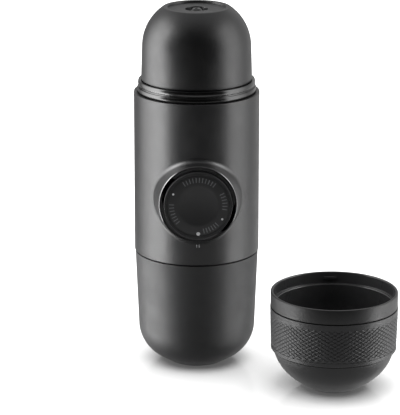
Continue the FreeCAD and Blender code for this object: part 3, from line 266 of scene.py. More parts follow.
class Studio(bpy.types.PropertyGroup):
    distance: length("Distance", "Camera to the maker", 1176)
    lens: FloatProperty(
        name="Lens", description="Focal length in millimetres", default=216.4, unit="CAMERA"
    )
    elevation: angle("Elevation", "How far the camera looks down", 16.37)
    azimuth: angle("Azimuth", "How far the camera stands to the side", -1.2)
    aim_across: length("Aim across", "Point the camera looks at, across", 1.56)
    aim_height: length("Aim height", "Point the camera looks at, up", 74.3)
    box_distance: length("Box distance", "Softbox to the group it lights", 900)
    box_middle: length("Box middle", "Height of the middle of each softbox", 300)
    box_width: length("Box width", "Width of each softbox", 1500)
    box_height: length("Box height", "Height of each softbox", 2000)
    left_light: power("Left box", "Power of the maker's left box", 88)
    right_light: power("Right box", "Power of the maker's right box", 39)
    cup_light: power("Cup boxes", "Power of each box of the cup", 33)
    casing_light: power("Casing box", "Power of the casing's left box", 80)
    left_turn: angle("Left turn", "Direction of the maker's left box, from the front", 97)
    right_turn: angle("Right turn", "Direction of the maker's right box", 93)
    casing_turn: angle("Casing turn", "Direction of the casing's left box", 91)
    cup_turn: angle("Cup turn", "Direction of the cup's boxes", 102)
    left_slant: share("Left slant", "How far the front edge of the maker's left box leans", 0.15)
    left_head: share("Left head", "How much brighter the casing's left box is up high", 0.85)
    right_head: share("Right head", "The same for the casing's right box", 1.0)
    glow: power("Glow", "Power that the white floor throws back", 0.88)
    cup_glow: power("Cup's glow", "The same under the cup", 0.62)
    glow_across: length("Glow across", "Width of the floor that glows", 700)
    glow_deep: length("Glow depth", "Depth of the floor that glows", 560)
    glow_front: length("Glow front", "How far in front of the maker that ends", 360)
    cup_glow_front: length("Cup's glow front", "The same for the cup's glow", 260)
    floor_light: power("Floor light", "Strength of the lamp over the sheet", 21)
    floor_spread: angle("Floor light spread", "Width of that lamp in the sky", 92)
    sheet_size: length("Sheet", "Width of the sheet on the floor", 12000)
    sheet_grey: share("Sheet grey", "How pale the sheet itself is", 0.25)
    sheet_glow: share("Sheet glow", "How far the sheet is lit through", 0.09)
    sheet_matt: length("Matt from", "Distance from a foot where the sheet is matt", 62)
    sheet_gloss: length("Glossy to", "Distance from a foot up to which it is glossy", 30)


# --- modelling


def deselect():
    """Nothing selected and object mode, so that an operator works on the new piece alone."""
    if bpy.context.mode != "OBJECT":
        bpy.ops.object.mode_set(mode="OBJECT")
    bpy.ops.object.select_all(action="DESELECT")
    bpy.context.tool_settings.mesh_select_mode = (True, False, False)


def alone(piece):
    """The piece as the only one selected, and active."""
    deselect()
    piece.select_set(True)
    bpy.context.view_layer.objects.active = piece
    return piece


def finish(piece, name, sharp=SHARP):
    """Names a piece, shades it and leaves it selected in object mode."""
    bpy.ops.object.mode_set(mode="OBJECT")
    piece.name = name
    piece.data.name = name
    bpy.ops.object.shade_smooth_by_angle(angle=sharp)
    return piece


def sweep(centre, radius, first, turn, step):
    """Points round a centre, from one angle on through a turn."""
    steps = max(2, math.ceil(abs(turn) / step))
    angles = [first + turn * index / steps for index in range(steps + 1)]
    return [centre + Vector((math.cos(a), math.sin(a))) * radius for a in angles]


def corner(before, at, after, radius):
    """Points of a fillet at one corner of an outline, over half of each side at most."""
    at, before, after = Vector(at), Vector(before), Vector(after)
    one, two = (before - at).normalized(), (after - at).normalized()
    half = one.angle(two) / 2
    reach = min(radius / math.tan(half), (before - at).length * 0.49, (after - at).length * 0.49)
    radius = reach * math.tan(half)
    centre = at + (one + two).normalized() * (radius / math.sin(half))
    first, last = at + one * reach - centre, at + two * reach - centre
    side = 1 if first.cross(last) > 0 else -1
    turn = side * (math.pi - 2 * half)
    return sweep(centre, radius, math.atan2(first.y, first.x), turn, math.radians(18))


def rounded(corners):
    """An outline of (radius, height) points, where a third number rounds that corner."""
    outline = []
    for index, point in enumerate(corners):
        inside = 0 < index < len(corners) - 1
        if len(point) == 3 and inside:
            before, after = corners[index - 1][:2], corners[index + 1][:2]
            outline += corner(before, point[:2], after, point[2])
        else:
            outline.append(Vector(point[:2]))
    return outline


def arc(start, end, radius, side, step=math.radians(4)):
    """Points on the short arc from start to end, its centre to the left (1) or right (-1)."""
    start, end = Vector(start), Vector(end)
    chord = end - start
    left = Vector((-chord.y, chord.x)).normalized()
    rise = math.sqrt(max(radius**2 - (chord.length / 2) ** 2, 0))
    centre = (start + end) / 2 + left * (side * rise)
    turn = side * 2 * math.asin(min(chord.length / 2 / radius, 1))
    first = math.atan2(start.y - centre.y, start.x - centre.x)
    points = sweep(centre, radius, first, turn, step)[1:-1]
    return [tuple(start)] + [tuple(point) for point in points] + [tuple(end)]


def turned(name, corners, steps=128):
    """A full turn of an outline: one vertex drawn out along it, spun, closed and shaded."""
    outline = rounded(corners)
    deselect()
    bpy.ops.mesh.primitive_plane_add(size=MM, enter_editmode=True, location=(0, 0, 0))
    bpy.ops.mesh.merge(type="CENTER")
    bpy.ops.transform.translate(value=(outline[0].x, 0, outline[0].y))
    for before, after in zip(outline, outline[1:]):
        step = (after.x - before.x, 0, after.y - before.y)
        bpy.ops.mesh.extrude_region_move(TRANSFORM_OT_translate={"value": step})
    bpy.ops.mesh.select_all(action="SELECT")
    bpy.ops.mesh.spin(steps=steps, angle=2 * math.pi, center=(0, 0, 0), axis=(0, 0, 1))
    bpy.ops.mesh.select_all(action="SELECT")
    bpy.ops.mesh.remove_doubles(threshold=WELD)
    bpy.ops.mesh.normals_make_consistent(inside=False)
    return finish(bpy.context.object, name)


def place(piece, location=(0, 0, 0), turn=(0, 0, 0)):
    """Moves a piece to its place and applies that, so that its object stays at the origin."""
    alone(piece)
    piece.location = location
    piece.rotation_euler = turn
    bpy.ops.object.transform_apply(location=True, rotation=True, scale=True)
    return piece


def copied(piece):
    """A copy of a piece with a mesh of its own."""
    alone(piece)
    bpy.ops.object.duplicate()
    return bpy.context.object


def ring(piece, turns):
    """The piece copied round the Z axis to each angle in degrees; it becomes the first."""
    pieces = [piece] + [copied(piece) for _ in turns[1:]]
    return [place(one, turn=(0, 0, math.radians(turn))) for one, turn in zip(pieces, turns)]


def slab(size, depth):
    """A plane sized and drawn up into a thin bar."""
    deselect()
    bpy.ops.mesh.primitive_plane_add(size=1, enter_editmode=True)
    bpy.ops.transform.resize(value=(size[0], size[1], 1))
    bpy.ops.mesh.extrude_region_move(TRANSFORM_OT_translate={"value": (0, 0, depth)})
    bpy.ops.mesh.select_all(action="SELECT")
    bpy.ops.mesh.normals_make_consistent(inside=False)
    bpy.ops.object.mode_set(mode="OBJECT")
    return bpy.context.object


def lay_over(piece, height):
    """Turns an upright piece onto the pump's axis, its top facing out of the casing."""
    return place(piece, (0, 0, height), (math.pi / 2, 0, 0))


def modify(piece, kind, **settings):
    """Adds a modifier with its settings and applies it."""
    modifier = alone(piece).modifiers.new(kind.title(), kind)
    for key, value in settings.items():
        setattr(modifier, key, value)
    bpy.ops.object.modifier_apply(modifier=modifier.name)


def soften(piece, edge):
    """Rounds the hard edges of a piece a little."""
    modify(piece, "BEVEL", width=edge, segments=2, limit_method="ANGLE", angle_limit=HARD)


def merged(node, name):
    """A copy of a solid with its triangles merged into faces, left selected in edit mode."""
    source = frame["nodes"][node]
    source.hide_set(False)
    piece = copied(source)
    piece.parent = None
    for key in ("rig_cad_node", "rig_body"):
        if key in piece:
            del piece[key]
    bpy.ops.object.mode_set(mode="EDIT")
    bpy.ops.mesh.select_all(action="SELECT")
    bpy.ops.mesh.remove_doubles(threshold=WELD)
    bpy.ops.mesh.dissolve_limited(angle_limit=FLAT)
    piece.data.materials.clear()
    piece.name = name
    return piece


def moulding(node, name, edge):
    """A copy of a solid with its edges softened."""
    piece = merged(node, name)
    if edge:
        soften(piece, edge)
    return finish(alone(piece), name)


def select_where(piece, kind, test):
    """Edit mode, with only the vertices or faces that a test picks by place."""
    if bpy.context.mode != "EDIT_MESH":
        bpy.ops.object.mode_set(mode="EDIT")
    bpy.ops.mesh.select_mode(type="VERT" if kind == "verts" else "FACE")
    bpy.ops.mesh.select_all(action="DESELECT")
    mesh = bmesh.from_edit_mesh(piece.data)
    for element in getattr(mesh, kind):
        element.select_set(bool(test(element)))
    mesh.select_flush_mode()
    bmesh.update_edit_mesh(piece.data)


def join(pieces, name):
    """Joins pieces into the first, under a new name."""
    alone(pieces[0])
    for piece in pieces[1:]:
        piece.select_set(True)
    bpy.ops.object.join()
    return finish(pieces[0], name)


def paint(piece, *finishes):
    """Adds materials to a piece, which has none so far."""
    for name in finishes:
        piece.data.materials.append(bpy.data.materials[name])


def settle(piece, body, slot, finishes, *nodes):
    """Gives a finished piece its materials, its body and the solids it stands for; its slot is
    not used.
    """
    paint(piece, *finishes)
    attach(piece, body)
    if nodes:
        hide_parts(*nodes)


# --- finishes


def linear(code):
    """An sRGB hex colour as linear numbers."""
    parts = [int(code[at : at + 2], 16) / 255 for at in (1, 3, 5)]
    curve = [c / 12.92 if c <= 0.04045 else ((c + 0.055) / 1.055) ** 2.4 for c in parts]
    return (*curve, 1.0)


def add(tree, kind, inputs=None, **settings):
    """A node with its settings; an input is a value or the socket that feeds it."""
    node = tree.nodes.new(kind)
    for key, value in settings.items():
        setattr(node, key, value)
    for key, value in (inputs or {}).items():
        if isinstance(value, bpy.types.NodeSocket):
            tree.links.new(value, node.inputs[key])
        else:
            node.inputs[key].default_value = value
    return node


def new_material(name):
    """An empty node tree for a material."""
    material = bpy.data.materials.new(name)
    material.use_nodes = True
    material.node_tree.nodes.clear()
    return material.node_tree


def surface(tree, inputs):
    """The shader of a material, wired to its output."""
    shader = add(tree, "ShaderNodeBsdfPrincipled", inputs)
    add(tree, "ShaderNodeOutputMaterial", {"Surface": shader.outputs[0]})


def grain(tree, millimetres, detail=3.0, stretch=(1, 1, 1)):
    """Noise whose features are about that many millimetres across, on Object coordinates."""
    place_on = add(tree, "ShaderNodeTexCoord").outputs["Object"]
    mapping = add(tree, "ShaderNodeMapping", {"Vector": place_on, "Scale": stretch})
    scale = 1 / (millimetres * MM)
    inputs = {"Vector": mapping.outputs[0], "Scale": scale, "Detail": detail}
    return add(tree, "ShaderNodeTexNoise", inputs).outputs[0]


def spread(tree, source, low, high, edges=(0.3, 0.7)):
    """The source's values between two edges, spread from low to high."""
    inputs = {0: source, 1: edges[0], 2: edges[1], 3: low, 4: high}
    return add(tree, "ShaderNodeMapRange", inputs).outputs[0]


def mottled(tree, code, change, where):
    """A colour, brighter or darker by a factor where the source is high."""
    tint = linear(code)
    other = [min(part * change, 1) for part in tint[:3]] + [1.0]
    inputs = {"Factor": where, "A": tint, "B": other}
    return add(tree, "ShaderNodeMix", inputs, data_type="RGBA").outputs["Result"]


def relief(tree, source, millimetres, strength=1.0):
    """Bump that many millimetres deep."""
    inputs = {"Strength": strength, "Distance": millimetres * MM, "Height": source}
    return add(tree, "ShaderNodeBump", inputs).outputs[0]


def moulded(name, code, roughness, pit, pit_depth, level=0.5):
    """Moulded plastic: fine pits from the tool in bump, soft clouds in gloss and colour."""
    tree = new_material(name)
    clouds = grain(tree, 7.0, detail=2.0)
    vary = 0.04
    surface(tree, {
        "Base Color": mottled(tree, code, 0.82, spread(tree, clouds, 0.0, 1.0)),
        "Roughness": spread(tree, clouds, roughness - vary, roughness + vary),
        "IOR": PLASTIC_IOR,
        "Specular IOR Level": level,
        "Normal": relief(tree, grain(tree, pit, detail=2.0), pit_depth),
    })


def polished(name, code, roughness, level=0.5):
    """Polished plastic: near-mirror, with hair-fine rings from screwing parts on and off."""
    tree = new_material(name)
    rings = grain(tree, 4.0, detail=4.0, stretch=(1, 1, 26))
    surface(tree, {
        "Base Color": linear(code),
        "Roughness": spread(tree, rings, roughness * 0.7, roughness * 1.6),
        "IOR": PLASTIC_IOR,
        "Specular IOR Level": level,
        "Normal": relief(tree, grain(tree, 5.0, detail=2.0), 0.006, strength=0.25),
    })


def drawn_steel(name, code):
    """Stainless steel as drawn and tumbled: bright, with short fine scratches."""
    tree = new_material(name)
    scratches = grain(tree, 1.2, detail=5.0, stretch=(1, 1, 9))
    surface(tree, {
        "Base Color": linear(code),
        "Metallic": 1.0,
        "Roughness": spread(tree, scratches, 0.2, 0.36),
        "Normal": relief(tree, grain(tree, 6.0, detail=2.0), 0.01, strength=0.3),
    })


def glass_filled(name, code):
    """Glass-filled nylon straight from the tool: dull, with pale flecks of fibre."""
    tree = new_material(name)
    fibres = grain(tree, 0.5, stretch=(1, 5, 1))
    flecks = spread(tree, fibres, 0.0, 1.0, edges=(0.58, 0.75))
    surface(tree, {
        "Base Color": mottled(tree, code, 1.9, flecks),
        "Roughness": spread(tree, fibres, 0.48, 0.62),
        "IOR": PLASTIC_IOR,
        "Normal": relief(tree, fibres, 0.02, strength=0.5),
    })


def silicone(name, code):
    """Moulded silicone: matt, a little powdery, with a soft edge to its shade."""
    tree = new_material(name)
    surface(tree, {
        "Base Color": mottled(tree, code, 1.25, spread(tree, grain(tree, 0.6), 0.0, 1.0)),
        "Roughness": 0.6,
        "IOR": 1.41,
        "Sheen Weight": 0.15,
        "Sheen Roughness": 0.4,
    })


def pad_print(name, code):
    """Pad-printed ink: thin and slightly uneven, so the plastic shows through in specks."""
    tree = new_material(name)
    surface(tree, {
        "Base Color": mottled(tree, code, 0.6, spread(tree, grain(tree, 0.35), 0.0, 1.0)),
        "Roughness": 0.55,
        "IOR": 1.5,
    })


def make_finishes():
    """Every material, named for what the real one is and how it was made; two also name the
    painted light in their colour.
    """
    tones = bpy.context.scene.espresso_finishes
    # Spark-eroded ABS: pits of a third of a millimetre, which blur the studio's light into
    # broad satin bands. Drawn a little coarser than life so that it shows.
    moulded("eroded_abs", tones.casing, tones.gloss, pit=0.32, pit_depth=0.022)
    moulded("eroded_abs_tank", tones.tank, tones.matt, pit=0.34, pit_depth=0.026, level=0.44)
    moulded("eroded_abs_dome", tones.dome, tones.satin, pit=0.32, pit_depth=0.022)
    moulded("eroded_abs_cup", tones.cup, tones.satin, pit=0.32, pit_depth=0.022)
    # The thin lip of the boss, which fingers have rubbed shiny.
    polished("burnished_abs_lip", tones.casing, 0.13, level=1.0)
    # The knob's face from a finer tool, so its dish holds one soft highlight.
    moulded("satin_abs_knob", tones.knob, 0.42, pit=0.28, pit_depth=0.014)
    # The skirt is left as it comes from a coarse tool, so its edge hardly shines.
    moulded("matt_abs_skirt", tones.knob, 0.55, pit=0.3, pit_depth=0.02, level=0.3)
    # The inside of the cup from a smooth tool: it looks wet round its ledge. Its paler charcoal
    # is painted light in the shaded hollow of the cup.
    moulded("smooth_abs_inside", tones.inside, 0.22, pit=0.4, pit_depth=0.005, level=0.8)
    # The grip band, whose diamonds break the side light into small glints.
    moulded("knurled_abs", tones.knurl, 0.38, pit=0.3, pit_depth=0.012)
    # Neck and nozzle from a polished tool: sharp highlights along each ridge.
    polished("polished_abs", tones.neck, 0.18, level=0.6)
    # The lock ring: a dull polish, and a pale charcoal that is painted light, so that the shaded
    # gap round the knob shows grey.
    polished("handled_abs_ring", tones.ring, 0.4)
    # Inside: dull black frames, pale seals and hoses, and bright metal between them.
    glass_filled("glass_filled_nylon", tones.nylon)
    silicone("moulded_silicone", tones.silicone)
    drawn_steel("drawn_stainless", tones.steel)
    # Print: crisp dots, the index mark rubbed greyer and the ring of ticks nearly worn off.
    pad_print("pad_print_ink", tones.ink)
    pad_print("rubbed_print_ink", tones.rubbed_ink)
    pad_print("worn_print_ink", tones.faint_ink)


# --- operators


class MODEL_OT_tank(bpy.types.Operator):
    """Bowl-shaped water tank"""

    bl_idname = "espresso.tank"
    bl_label = "Water tank"

    def execute(self, context):
        s = context.scene.espresso_tank
        inner = s.bend - s.wall
        cosine, sine = math.cos(s.taper), math.sin(s.taper)
        mouth_in = s.mouth - s.wall / cosine
        turn_out = s.bend_height - s.bend * sine
        centre = s.mouth - (s.height - turn_out) * math.tan(s.taper) - s.bend * cosine
        flank = Vector((math.cos(s.flank), -math.sin(s.flank)))
        middle = Vector((centre, s.bend_height))
        wall, low = (centre + s.bend * cosine, turn_out), middle + flank * s.bend
        wall_in = (centre + inner * cosine, s.bend_height - inner * sine)
        low_in = middle + flank * inner
        foot = low.x - low.y * math.tan(s.flank)
        foot_in = low_in.x - (low_in.y - s.floor) * math.tan(s.flank)
        outline = [(0, 0), (foot, 0, s.foot_round)] + arc(low, wall, s.bend, 1)
        outline += [(s.mouth, s.height, s.lip_round), (mouth_in, s.height, s.lip_round)]
        outline += arc(wall_in, low_in, inner, -1)
        outline += [(foot_in, s.floor, s.foot_round), (0, s.floor)]
        piece = turned("water_tank_bowl", outline, FINE)
        settle(piece, "water_tank", "satin_plastic", ["eroded_abs_tank"], "tank_shell")
        return {"FINISHED"}


class MODEL_OT_casing(bpy.types.Operator):
    """Casing with its boss, and the index mark under it"""

    bl_idname = "espresso.casing"
    bl_label = "Casing"

    def execute(self, context):
        s = context.scene.espresso_body
        casing = merged("body_shell", "casing")
        paint(casing, "eroded_abs", "burnished_abs_lip")

        def on_mouth(vertex):
            reach = math.hypot(vertex.co.x, vertex.co.z - s.pump_height)
            return vertex.co.y < HAIR - s.boss_out and s.boss_bore + s.lip / 2 < reach

        # The bevel gives its faces the second material, the burnished lip.
        select_where(casing, "verts", on_mouth)
        bpy.ops.mesh.bevel(offset=s.lip, segments=2, profile=0.4, material=1, clamp_overlap=True)
        soften(casing, s.edge)
        finish(casing, "casing")
        self.true_wall(casing, s)
        settle(casing, "main_body", "satin_plastic", [], "body_shell")
        bar = slab((s.mark_width, s.mark_length), s.print_height * 4)
        bars = [bar, copied(bar)]
        for side, piece in zip((-1, 1), bars):
            across = side * s.mark_gap / 2
            deep = math.sqrt(s.radius**2 - (abs(across) + s.mark_width) ** 2)
            place(piece, (across, s.print_height - deep, s.mark_height), (math.pi / 2, 0, 0))
        mark = join(bars, "index_mark")
        settle(mark, "main_body", "satin_plastic", ["rubbed_print_ink"])
        return {"FINISHED"}

    def true_wall(self, casing, s):
        """Takes the wall's shading from a plain tube, so that its long faces show no bands."""
        tube = turned("tube", [(s.radius, s.bottom), (s.radius, s.top)], FINE)
        near = [v.index for v in casing.data.vertices if abs(v.co.xy.length - s.radius) < HAIR]
        casing.vertex_groups.new(name="wall").add(near, 1.0, "ADD")
        modify(
            casing, "DATA_TRANSFER", object=tube, use_loop_data=True,
            data_types_loops={"CUSTOM_NORMAL"}, loop_mapping="POLYINTERP_NEAREST",
            vertex_group="wall",
        )
        bpy.data.objects.remove(tube)


class MODEL_OT_neck(bpy.types.Operator):
    """Polished threaded neck, and the lock ring of the knob"""

    bl_idname = "espresso.neck"
    bl_label = "Neck and lock ring"

    def execute(self, context):
        s = context.scene.espresso_neck
        lower_top = s.ridge_bottom + s.ridge
        upper = lower_top + s.groove
        swell = s.ridge**2 / 8 / s.crown + s.crown / 2

        def ridge(crest, foot):
            """A swelling ridge from its foot up."""
            reach = crest - s.crown
            return arc((reach, foot), (reach, foot + s.ridge), swell, 1, step=0.05)

        first, second = ridge(s.lower, s.ridge_bottom), ridge(s.upper, upper)
        outline = [(s.inner, s.ledge), (s.inner, s.bottom, s.edge)]
        outline += [(s.flange, s.bottom, s.edge), (s.flange, s.flange_top, s.edge / 2)]
        outline += [(s.lower - s.crown, s.flange_top)]
        outline += first[:-1] + [first[-1] + (s.edge,)]
        outline += [(s.waist, lower_top, s.edge / 4), (s.waist, upper, s.edge / 4)]
        outline += [second[0] + (s.edge,)] + second[1:-1] + [second[-1] + (s.edge,)]
        outline += [(s.bore, upper + s.ridge, s.edge), (s.bore, s.ledge), (s.inner, s.ledge)]
        neck = turned("neck", outline, FINE)
        settle(neck, "main_body", "gloss_plastic", ["polished_abs"], "neck_collar")
        ring = moulding("lock_ring", "bayonet_ring", s.edge / 3)
        settle(ring, "main_body", "gloss_plastic", ["handled_abs_ring"], "lock_ring")
        return {"FINISHED"}


class MODEL_OT_head(bpy.types.Operator):
    """Dome of the outlet head with its recessed top, and the nozzle in it"""

    bl_idname = "espresso.head"
    bl_label = "Outlet head"

    def execute(self, context):
        s = context.scene.espresso_head
        inner = s.bend - s.wall
        cosine, sine = math.cos(s.taper), math.sin(s.taper)
        start = s.bend_height + s.bend * sine
        centre = s.foot - (start - s.shoulder) * math.tan(s.taper) - s.bend * cosine
        rim = centre + math.sqrt(s.bend**2 - (s.top - s.bend_height) ** 2)
        crown = centre + math.sqrt(inner**2 - (s.ceiling - s.bend_height) ** 2)
        outer = arc((centre + s.bend * cosine, start), (rim, s.top), s.bend, 1, math.radians(3))
        inside = (centre + inner * cosine, s.bend_height + inner * sine)
        vault = arc(inside, (crown, s.ceiling), inner, 1)
        foot_in = s.foot - s.wall / cosine
        edge = s.rim_round
        outline = [(s.well, s.ceiling), (s.well, s.recess_floor, edge / 2)]
        outline += [(s.rim_inner, s.recess_floor, edge / 2), (s.rim_inner, s.top, edge)]
        outline += [(rim, s.top, edge)] + outer[::-1][1:]
        outline += [(s.foot, s.shoulder, edge / 2), (s.skirt, s.shoulder)]
        outline += [(s.skirt, s.skirt_bottom, edge / 2), (foot_in, s.skirt_bottom, edge / 2)]
        outline += [(foot_in, s.shoulder)] + vault + [(s.well, s.ceiling)]
        dome = turned("outlet_cap", outline, FINE)
        settle(dome, "outlet_head", "satin_plastic", ["eroded_abs_dome"], "outlet_dome")
        inlet = (s.nozzle_bore, s.plate_bottom)
        spout = [inlet, (s.plate, s.plate_bottom, edge / 2), (s.plate, s.ceiling)]
        spout += [(s.nozzle_base, s.ceiling, edge), (s.nozzle_tip, s.nozzle_top, edge / 2)]
        spout += [(s.nozzle_bore, s.nozzle_top, edge / 2), inlet]
        nozzle = turned("spout", spout, steps=64)
        settle(nozzle, "outlet_head", "satin_plastic", ["polished_abs"], "outlet_nozzle")
        return {"FINISHED"}


# Arcs of the printed ring in degrees, with plain gaps between them.
TICK_ARCS = ((53, 122), (-8, 27), (-78, -46), (177, 220))


class MODEL_OT_knob(bpy.types.Operator):
    """Push knob: moulded skirt, face plate with its dish, and the printed marks"""

    bl_idname = "espresso.knob"
    bl_label = "Push knob"

    def execute(self, context):
        s = context.scene.espresso_knob
        height = context.scene.espresso_body.pump_height
        body = moulding("knob_body", "knob_skirt", s.seam)
        settle(body, "knob", "knob_plastic", ["matt_abs_skirt"], "knob_body")
        outline = [(0, s.face_back), (s.face, s.face_back, s.seam)]
        outline += [(s.face, s.front - s.crown, s.seam)]
        for at in (0.2, 0.4, 0.6, 0.8):
            reach = s.face + (s.dish - s.face) * at
            outline.append((reach, s.front - s.crown * (1 - at) ** 2))
        for step in range(s.dish_rings + 1):
            at = 1 - step / s.dish_rings
            outline.append((s.dish * at, s.front - s.dish_depth * (1 - at**2)))
        face = lay_over(turned("face_plate", outline), height)
        settle(face, "knob", "knob_plastic", ["satin_abs_knob"], "knob_face")
        self.marks(s, height)
        return {"FINISHED"}

    def marks(self, s, height):
        """Printed dots for the ends of the turn, and rings of plain ticks between them."""
        low = s.front - s.print_lift / 2
        dots = []
        for size, reach, turns in (
            (s.dot, s.dot_radius, [-90]),
            (s.small_dot, s.small_dot_radius, [-30, 154]),
        ):
            dot = turned("dot", [(0, 0), (size, 0), (size, s.print_lift), (0, s.print_lift)], 32)
            dots += ring(place(dot, (reach, 0, low)), turns)
        mark = lay_over(join(dots, "knob_dots"), height)
        settle(mark, "knob", "knob_plastic", ["pad_print_ink"])
        turns = []
        for first, last in TICK_ARCS:
            steps = round((last - first) / s.tick_step)
            turns += [first + (last - first) * index / steps for index in range(steps + 1)]
        tick = place(slab((s.tick_length, s.tick_width), s.print_lift), (s.print_radius, 0, low))
        ticks = lay_over(join(ring(tick, turns), "knob_ticks"), height)
        settle(ticks, "knob", "knob_plastic", ["worn_print_ink"])


class MODEL_OT_cup(bpy.types.Operator):
    """Cup: bowl with its rim and bayonet lugs"""

    bl_idname = "espresso.cup"
    bl_label = "Cup"

    def execute(self, context):
        s = context.scene.espresso_cup
        inner, belly = s.bend - s.wall, s.belly - s.wall
        cosine, sine = math.cos(s.flank), math.sin(s.flank)
        flank = (s.bend_centre + s.bend * cosine, s.bend_height - s.bend * sine)
        flank_in = (s.bend_centre + inner * cosine, s.bend_height - inner * sine)
        across, up = flank[0] - s.belly * cosine, flank[1] + s.belly * sine
        foot = across + math.sqrt(s.belly**2 - up**2)
        well = across + math.sqrt(belly**2 - (up - s.floor) ** 2)
        gap = s.band_bottom - s.gap
        drop = s.bend_height - gap
        shoulder = s.bend_centre + math.sqrt(s.bend**2 - drop**2)
        round_off = s.rim_round
        outline = [(0, 0), (foot, 0, round_off)]
        outline += arc((foot, 0), flank, s.belly, 1, math.radians(3))[1:]
        outline += arc(flank, (shoulder, gap), s.bend, 1)[1:]
        outline += [
            (s.gap_root, gap),
            (s.gap_root, s.band_bottom),
            (s.seat, s.band_bottom),
            (s.seat, s.rim_bottom),
            (s.rim, s.rim_bottom, round_off * 0.6),
            (s.rim, s.height, round_off),
            (s.mouth, s.height, round_off),
            (s.mouth, s.ledge, round_off / 2),
            (s.bore, s.ledge, round_off),
        ]
        outline += arc((s.bore, s.bend_height), flank_in, inner, -1)
        outline += arc(flank_in, (well, s.floor), belly, -1, math.radians(3))[1:]
        outline += [(0, s.floor)]
        bowl = turned("cup_bowl_shell", outline, FINE)
        bowl = join([bowl] + ring(self.lug(s), (0, 120, 240)), "cup_bowl_shell")
        bowl = place(bowl, (s.across, -s.forward, 0))
        paint(bowl, "eroded_abs_cup", "smooth_abs_inside")
        centre = Vector((s.across, -s.forward))

        def inside(face):
            at = face.calc_center_median()
            reach = (at.xy - centre).length
            return reach < s.mouth + round_off / 2 and at.z > s.floor - MM and (
                face.normal.xy.dot(at.xy - centre) < 0 or at.z > s.height - MM / 10
                or (reach < s.bore and face.normal.z > 0.3)
            )

        select_where(bowl, "faces", inside)
        bowl.active_material_index = 1
        bpy.ops.object.material_slot_assign()
        bpy.ops.object.mode_set(mode="OBJECT")
        settle(bowl, "cup", "satin_plastic", [], "cup_bowl")
        return {"FINISHED"}

    def lug(self, s):
        """A bayonet lug: a cube shaped to a block with soft corners, in the mouth's wall."""
        deselect()
        bpy.ops.mesh.primitive_cube_add(size=1, enter_editmode=True)
        deep = s.lug_reach * 2
        bpy.ops.transform.resize(value=(s.lug_width, deep, s.lug_height))
        bpy.ops.mesh.select_all(action="SELECT")
        bpy.ops.mesh.bevel(offset=s.lug_reach * 0.4, segments=3)
        bpy.ops.object.mode_set(mode="OBJECT")
        reach = s.mouth - s.lug_reach + deep / 2
        return place(bpy.context.object, (0, reach, s.lug_bottom + s.lug_height / 2))


class MODEL_OT_knurl(bpy.types.Operator):
    """Grip band of the cup with its raised diamonds"""

    bl_idname = "espresso.knurl"
    bl_label = "Knurled band"

    def execute(self, context):
        s = context.scene.espresso_knurl
        cup = context.scene.espresso_cup
        low, high = cup.band_bottom + s.under, s.top - s.over
        foot, crest = s.foot_radius - s.depth, s.radius - s.depth
        lean = (crest - foot) / (high - low)
        levels = [low + (high - low) * row / s.rows for row in range(s.rows + 1)]
        lead = s.depth * 0.6
        outline = [
            (s.inner, cup.band_bottom),
            (s.foot_radius - s.chamfer, cup.band_bottom, s.chamfer / 3),
            (s.foot_radius, cup.band_bottom + s.chamfer),
            (s.foot_radius, low - lead),
        ]
        outline += [(foot + lean * (level - low), level) for level in levels]
        outline += [
            (s.radius - s.chamfer / 8, high + lead),
            (s.radius, s.top - s.chamfer / 3),
            (s.radius - s.chamfer / 3, s.top),
            (s.inner, s.top),
            (s.inner, cup.band_bottom),
        ]
        band = turned("grip_band", outline, s.columns)

        def cell(at):
            """Column and row of a place, counted in half diamonds."""
            column = (math.atan2(at.y, at.x) % (2 * math.pi)) / (2 * math.pi / s.columns)
            return column, (at.z - low) / (high - low) * s.rows

        def outside(at):
            return at.xy.length > (s.inner + s.foot_radius - s.chamfer) / 2

        def on_knurl(at):
            return outside(at) and low - HAIR < at.z < high + HAIR

        def odd(at):
            column, row = cell(at)
            return on_knurl(at) and (round(column) + round(row)) % 2

        def even(at):
            return on_knurl(at) and not odd(at) and low + HAIR < at.z < high - HAIR

        def diamond(face):
            corners = len(face.verts) == 4 and all(odd(v.co) for v in face.verts)
            return corners and outside(face.calc_center_median())

        def crossing(at):
            """On the floor of the grooves, where two of them meet."""
            return odd(at) and at.xy.length < foot + lean * (at.z - low) + s.depth / 4

        def at_corner(at):
            near = max(abs(part - round(part)) for part in cell(at))
            return crossing(at) and near < 0.05

        select_where(band, "verts", lambda v: odd(v.co))
        bpy.ops.mesh.vert_connect()
        select_where(band, "verts", lambda v: even(v.co))
        bpy.ops.mesh.dissolve_verts()
        select_where(band, "faces", diamond)
        bpy.ops.mesh.inset(thickness=s.groove, depth=s.depth, use_individual=True)
        select_where(band, "verts", lambda v: crossing(v.co))
        bpy.ops.mesh.subdivide(number_cuts=1)
        select_where(band, "verts", lambda v: at_corner(v.co))
        bpy.ops.transform.shrink_fatten(value=-s.pit)
        finish(band, "grip_band", sharp=math.radians(20))
        place(band, (cup.across, -cup.forward, 0))
        settle(band, "cup", "knurled_plastic", ["knurled_abs"], "cup_grip_band")
        return {"FINISHED"}


NYLON = ("inner_plastic", "glass_filled_nylon")
RUBBER = ("seal_rubber", "moulded_silicone")
STEEL = ("steel", "drawn_stainless")
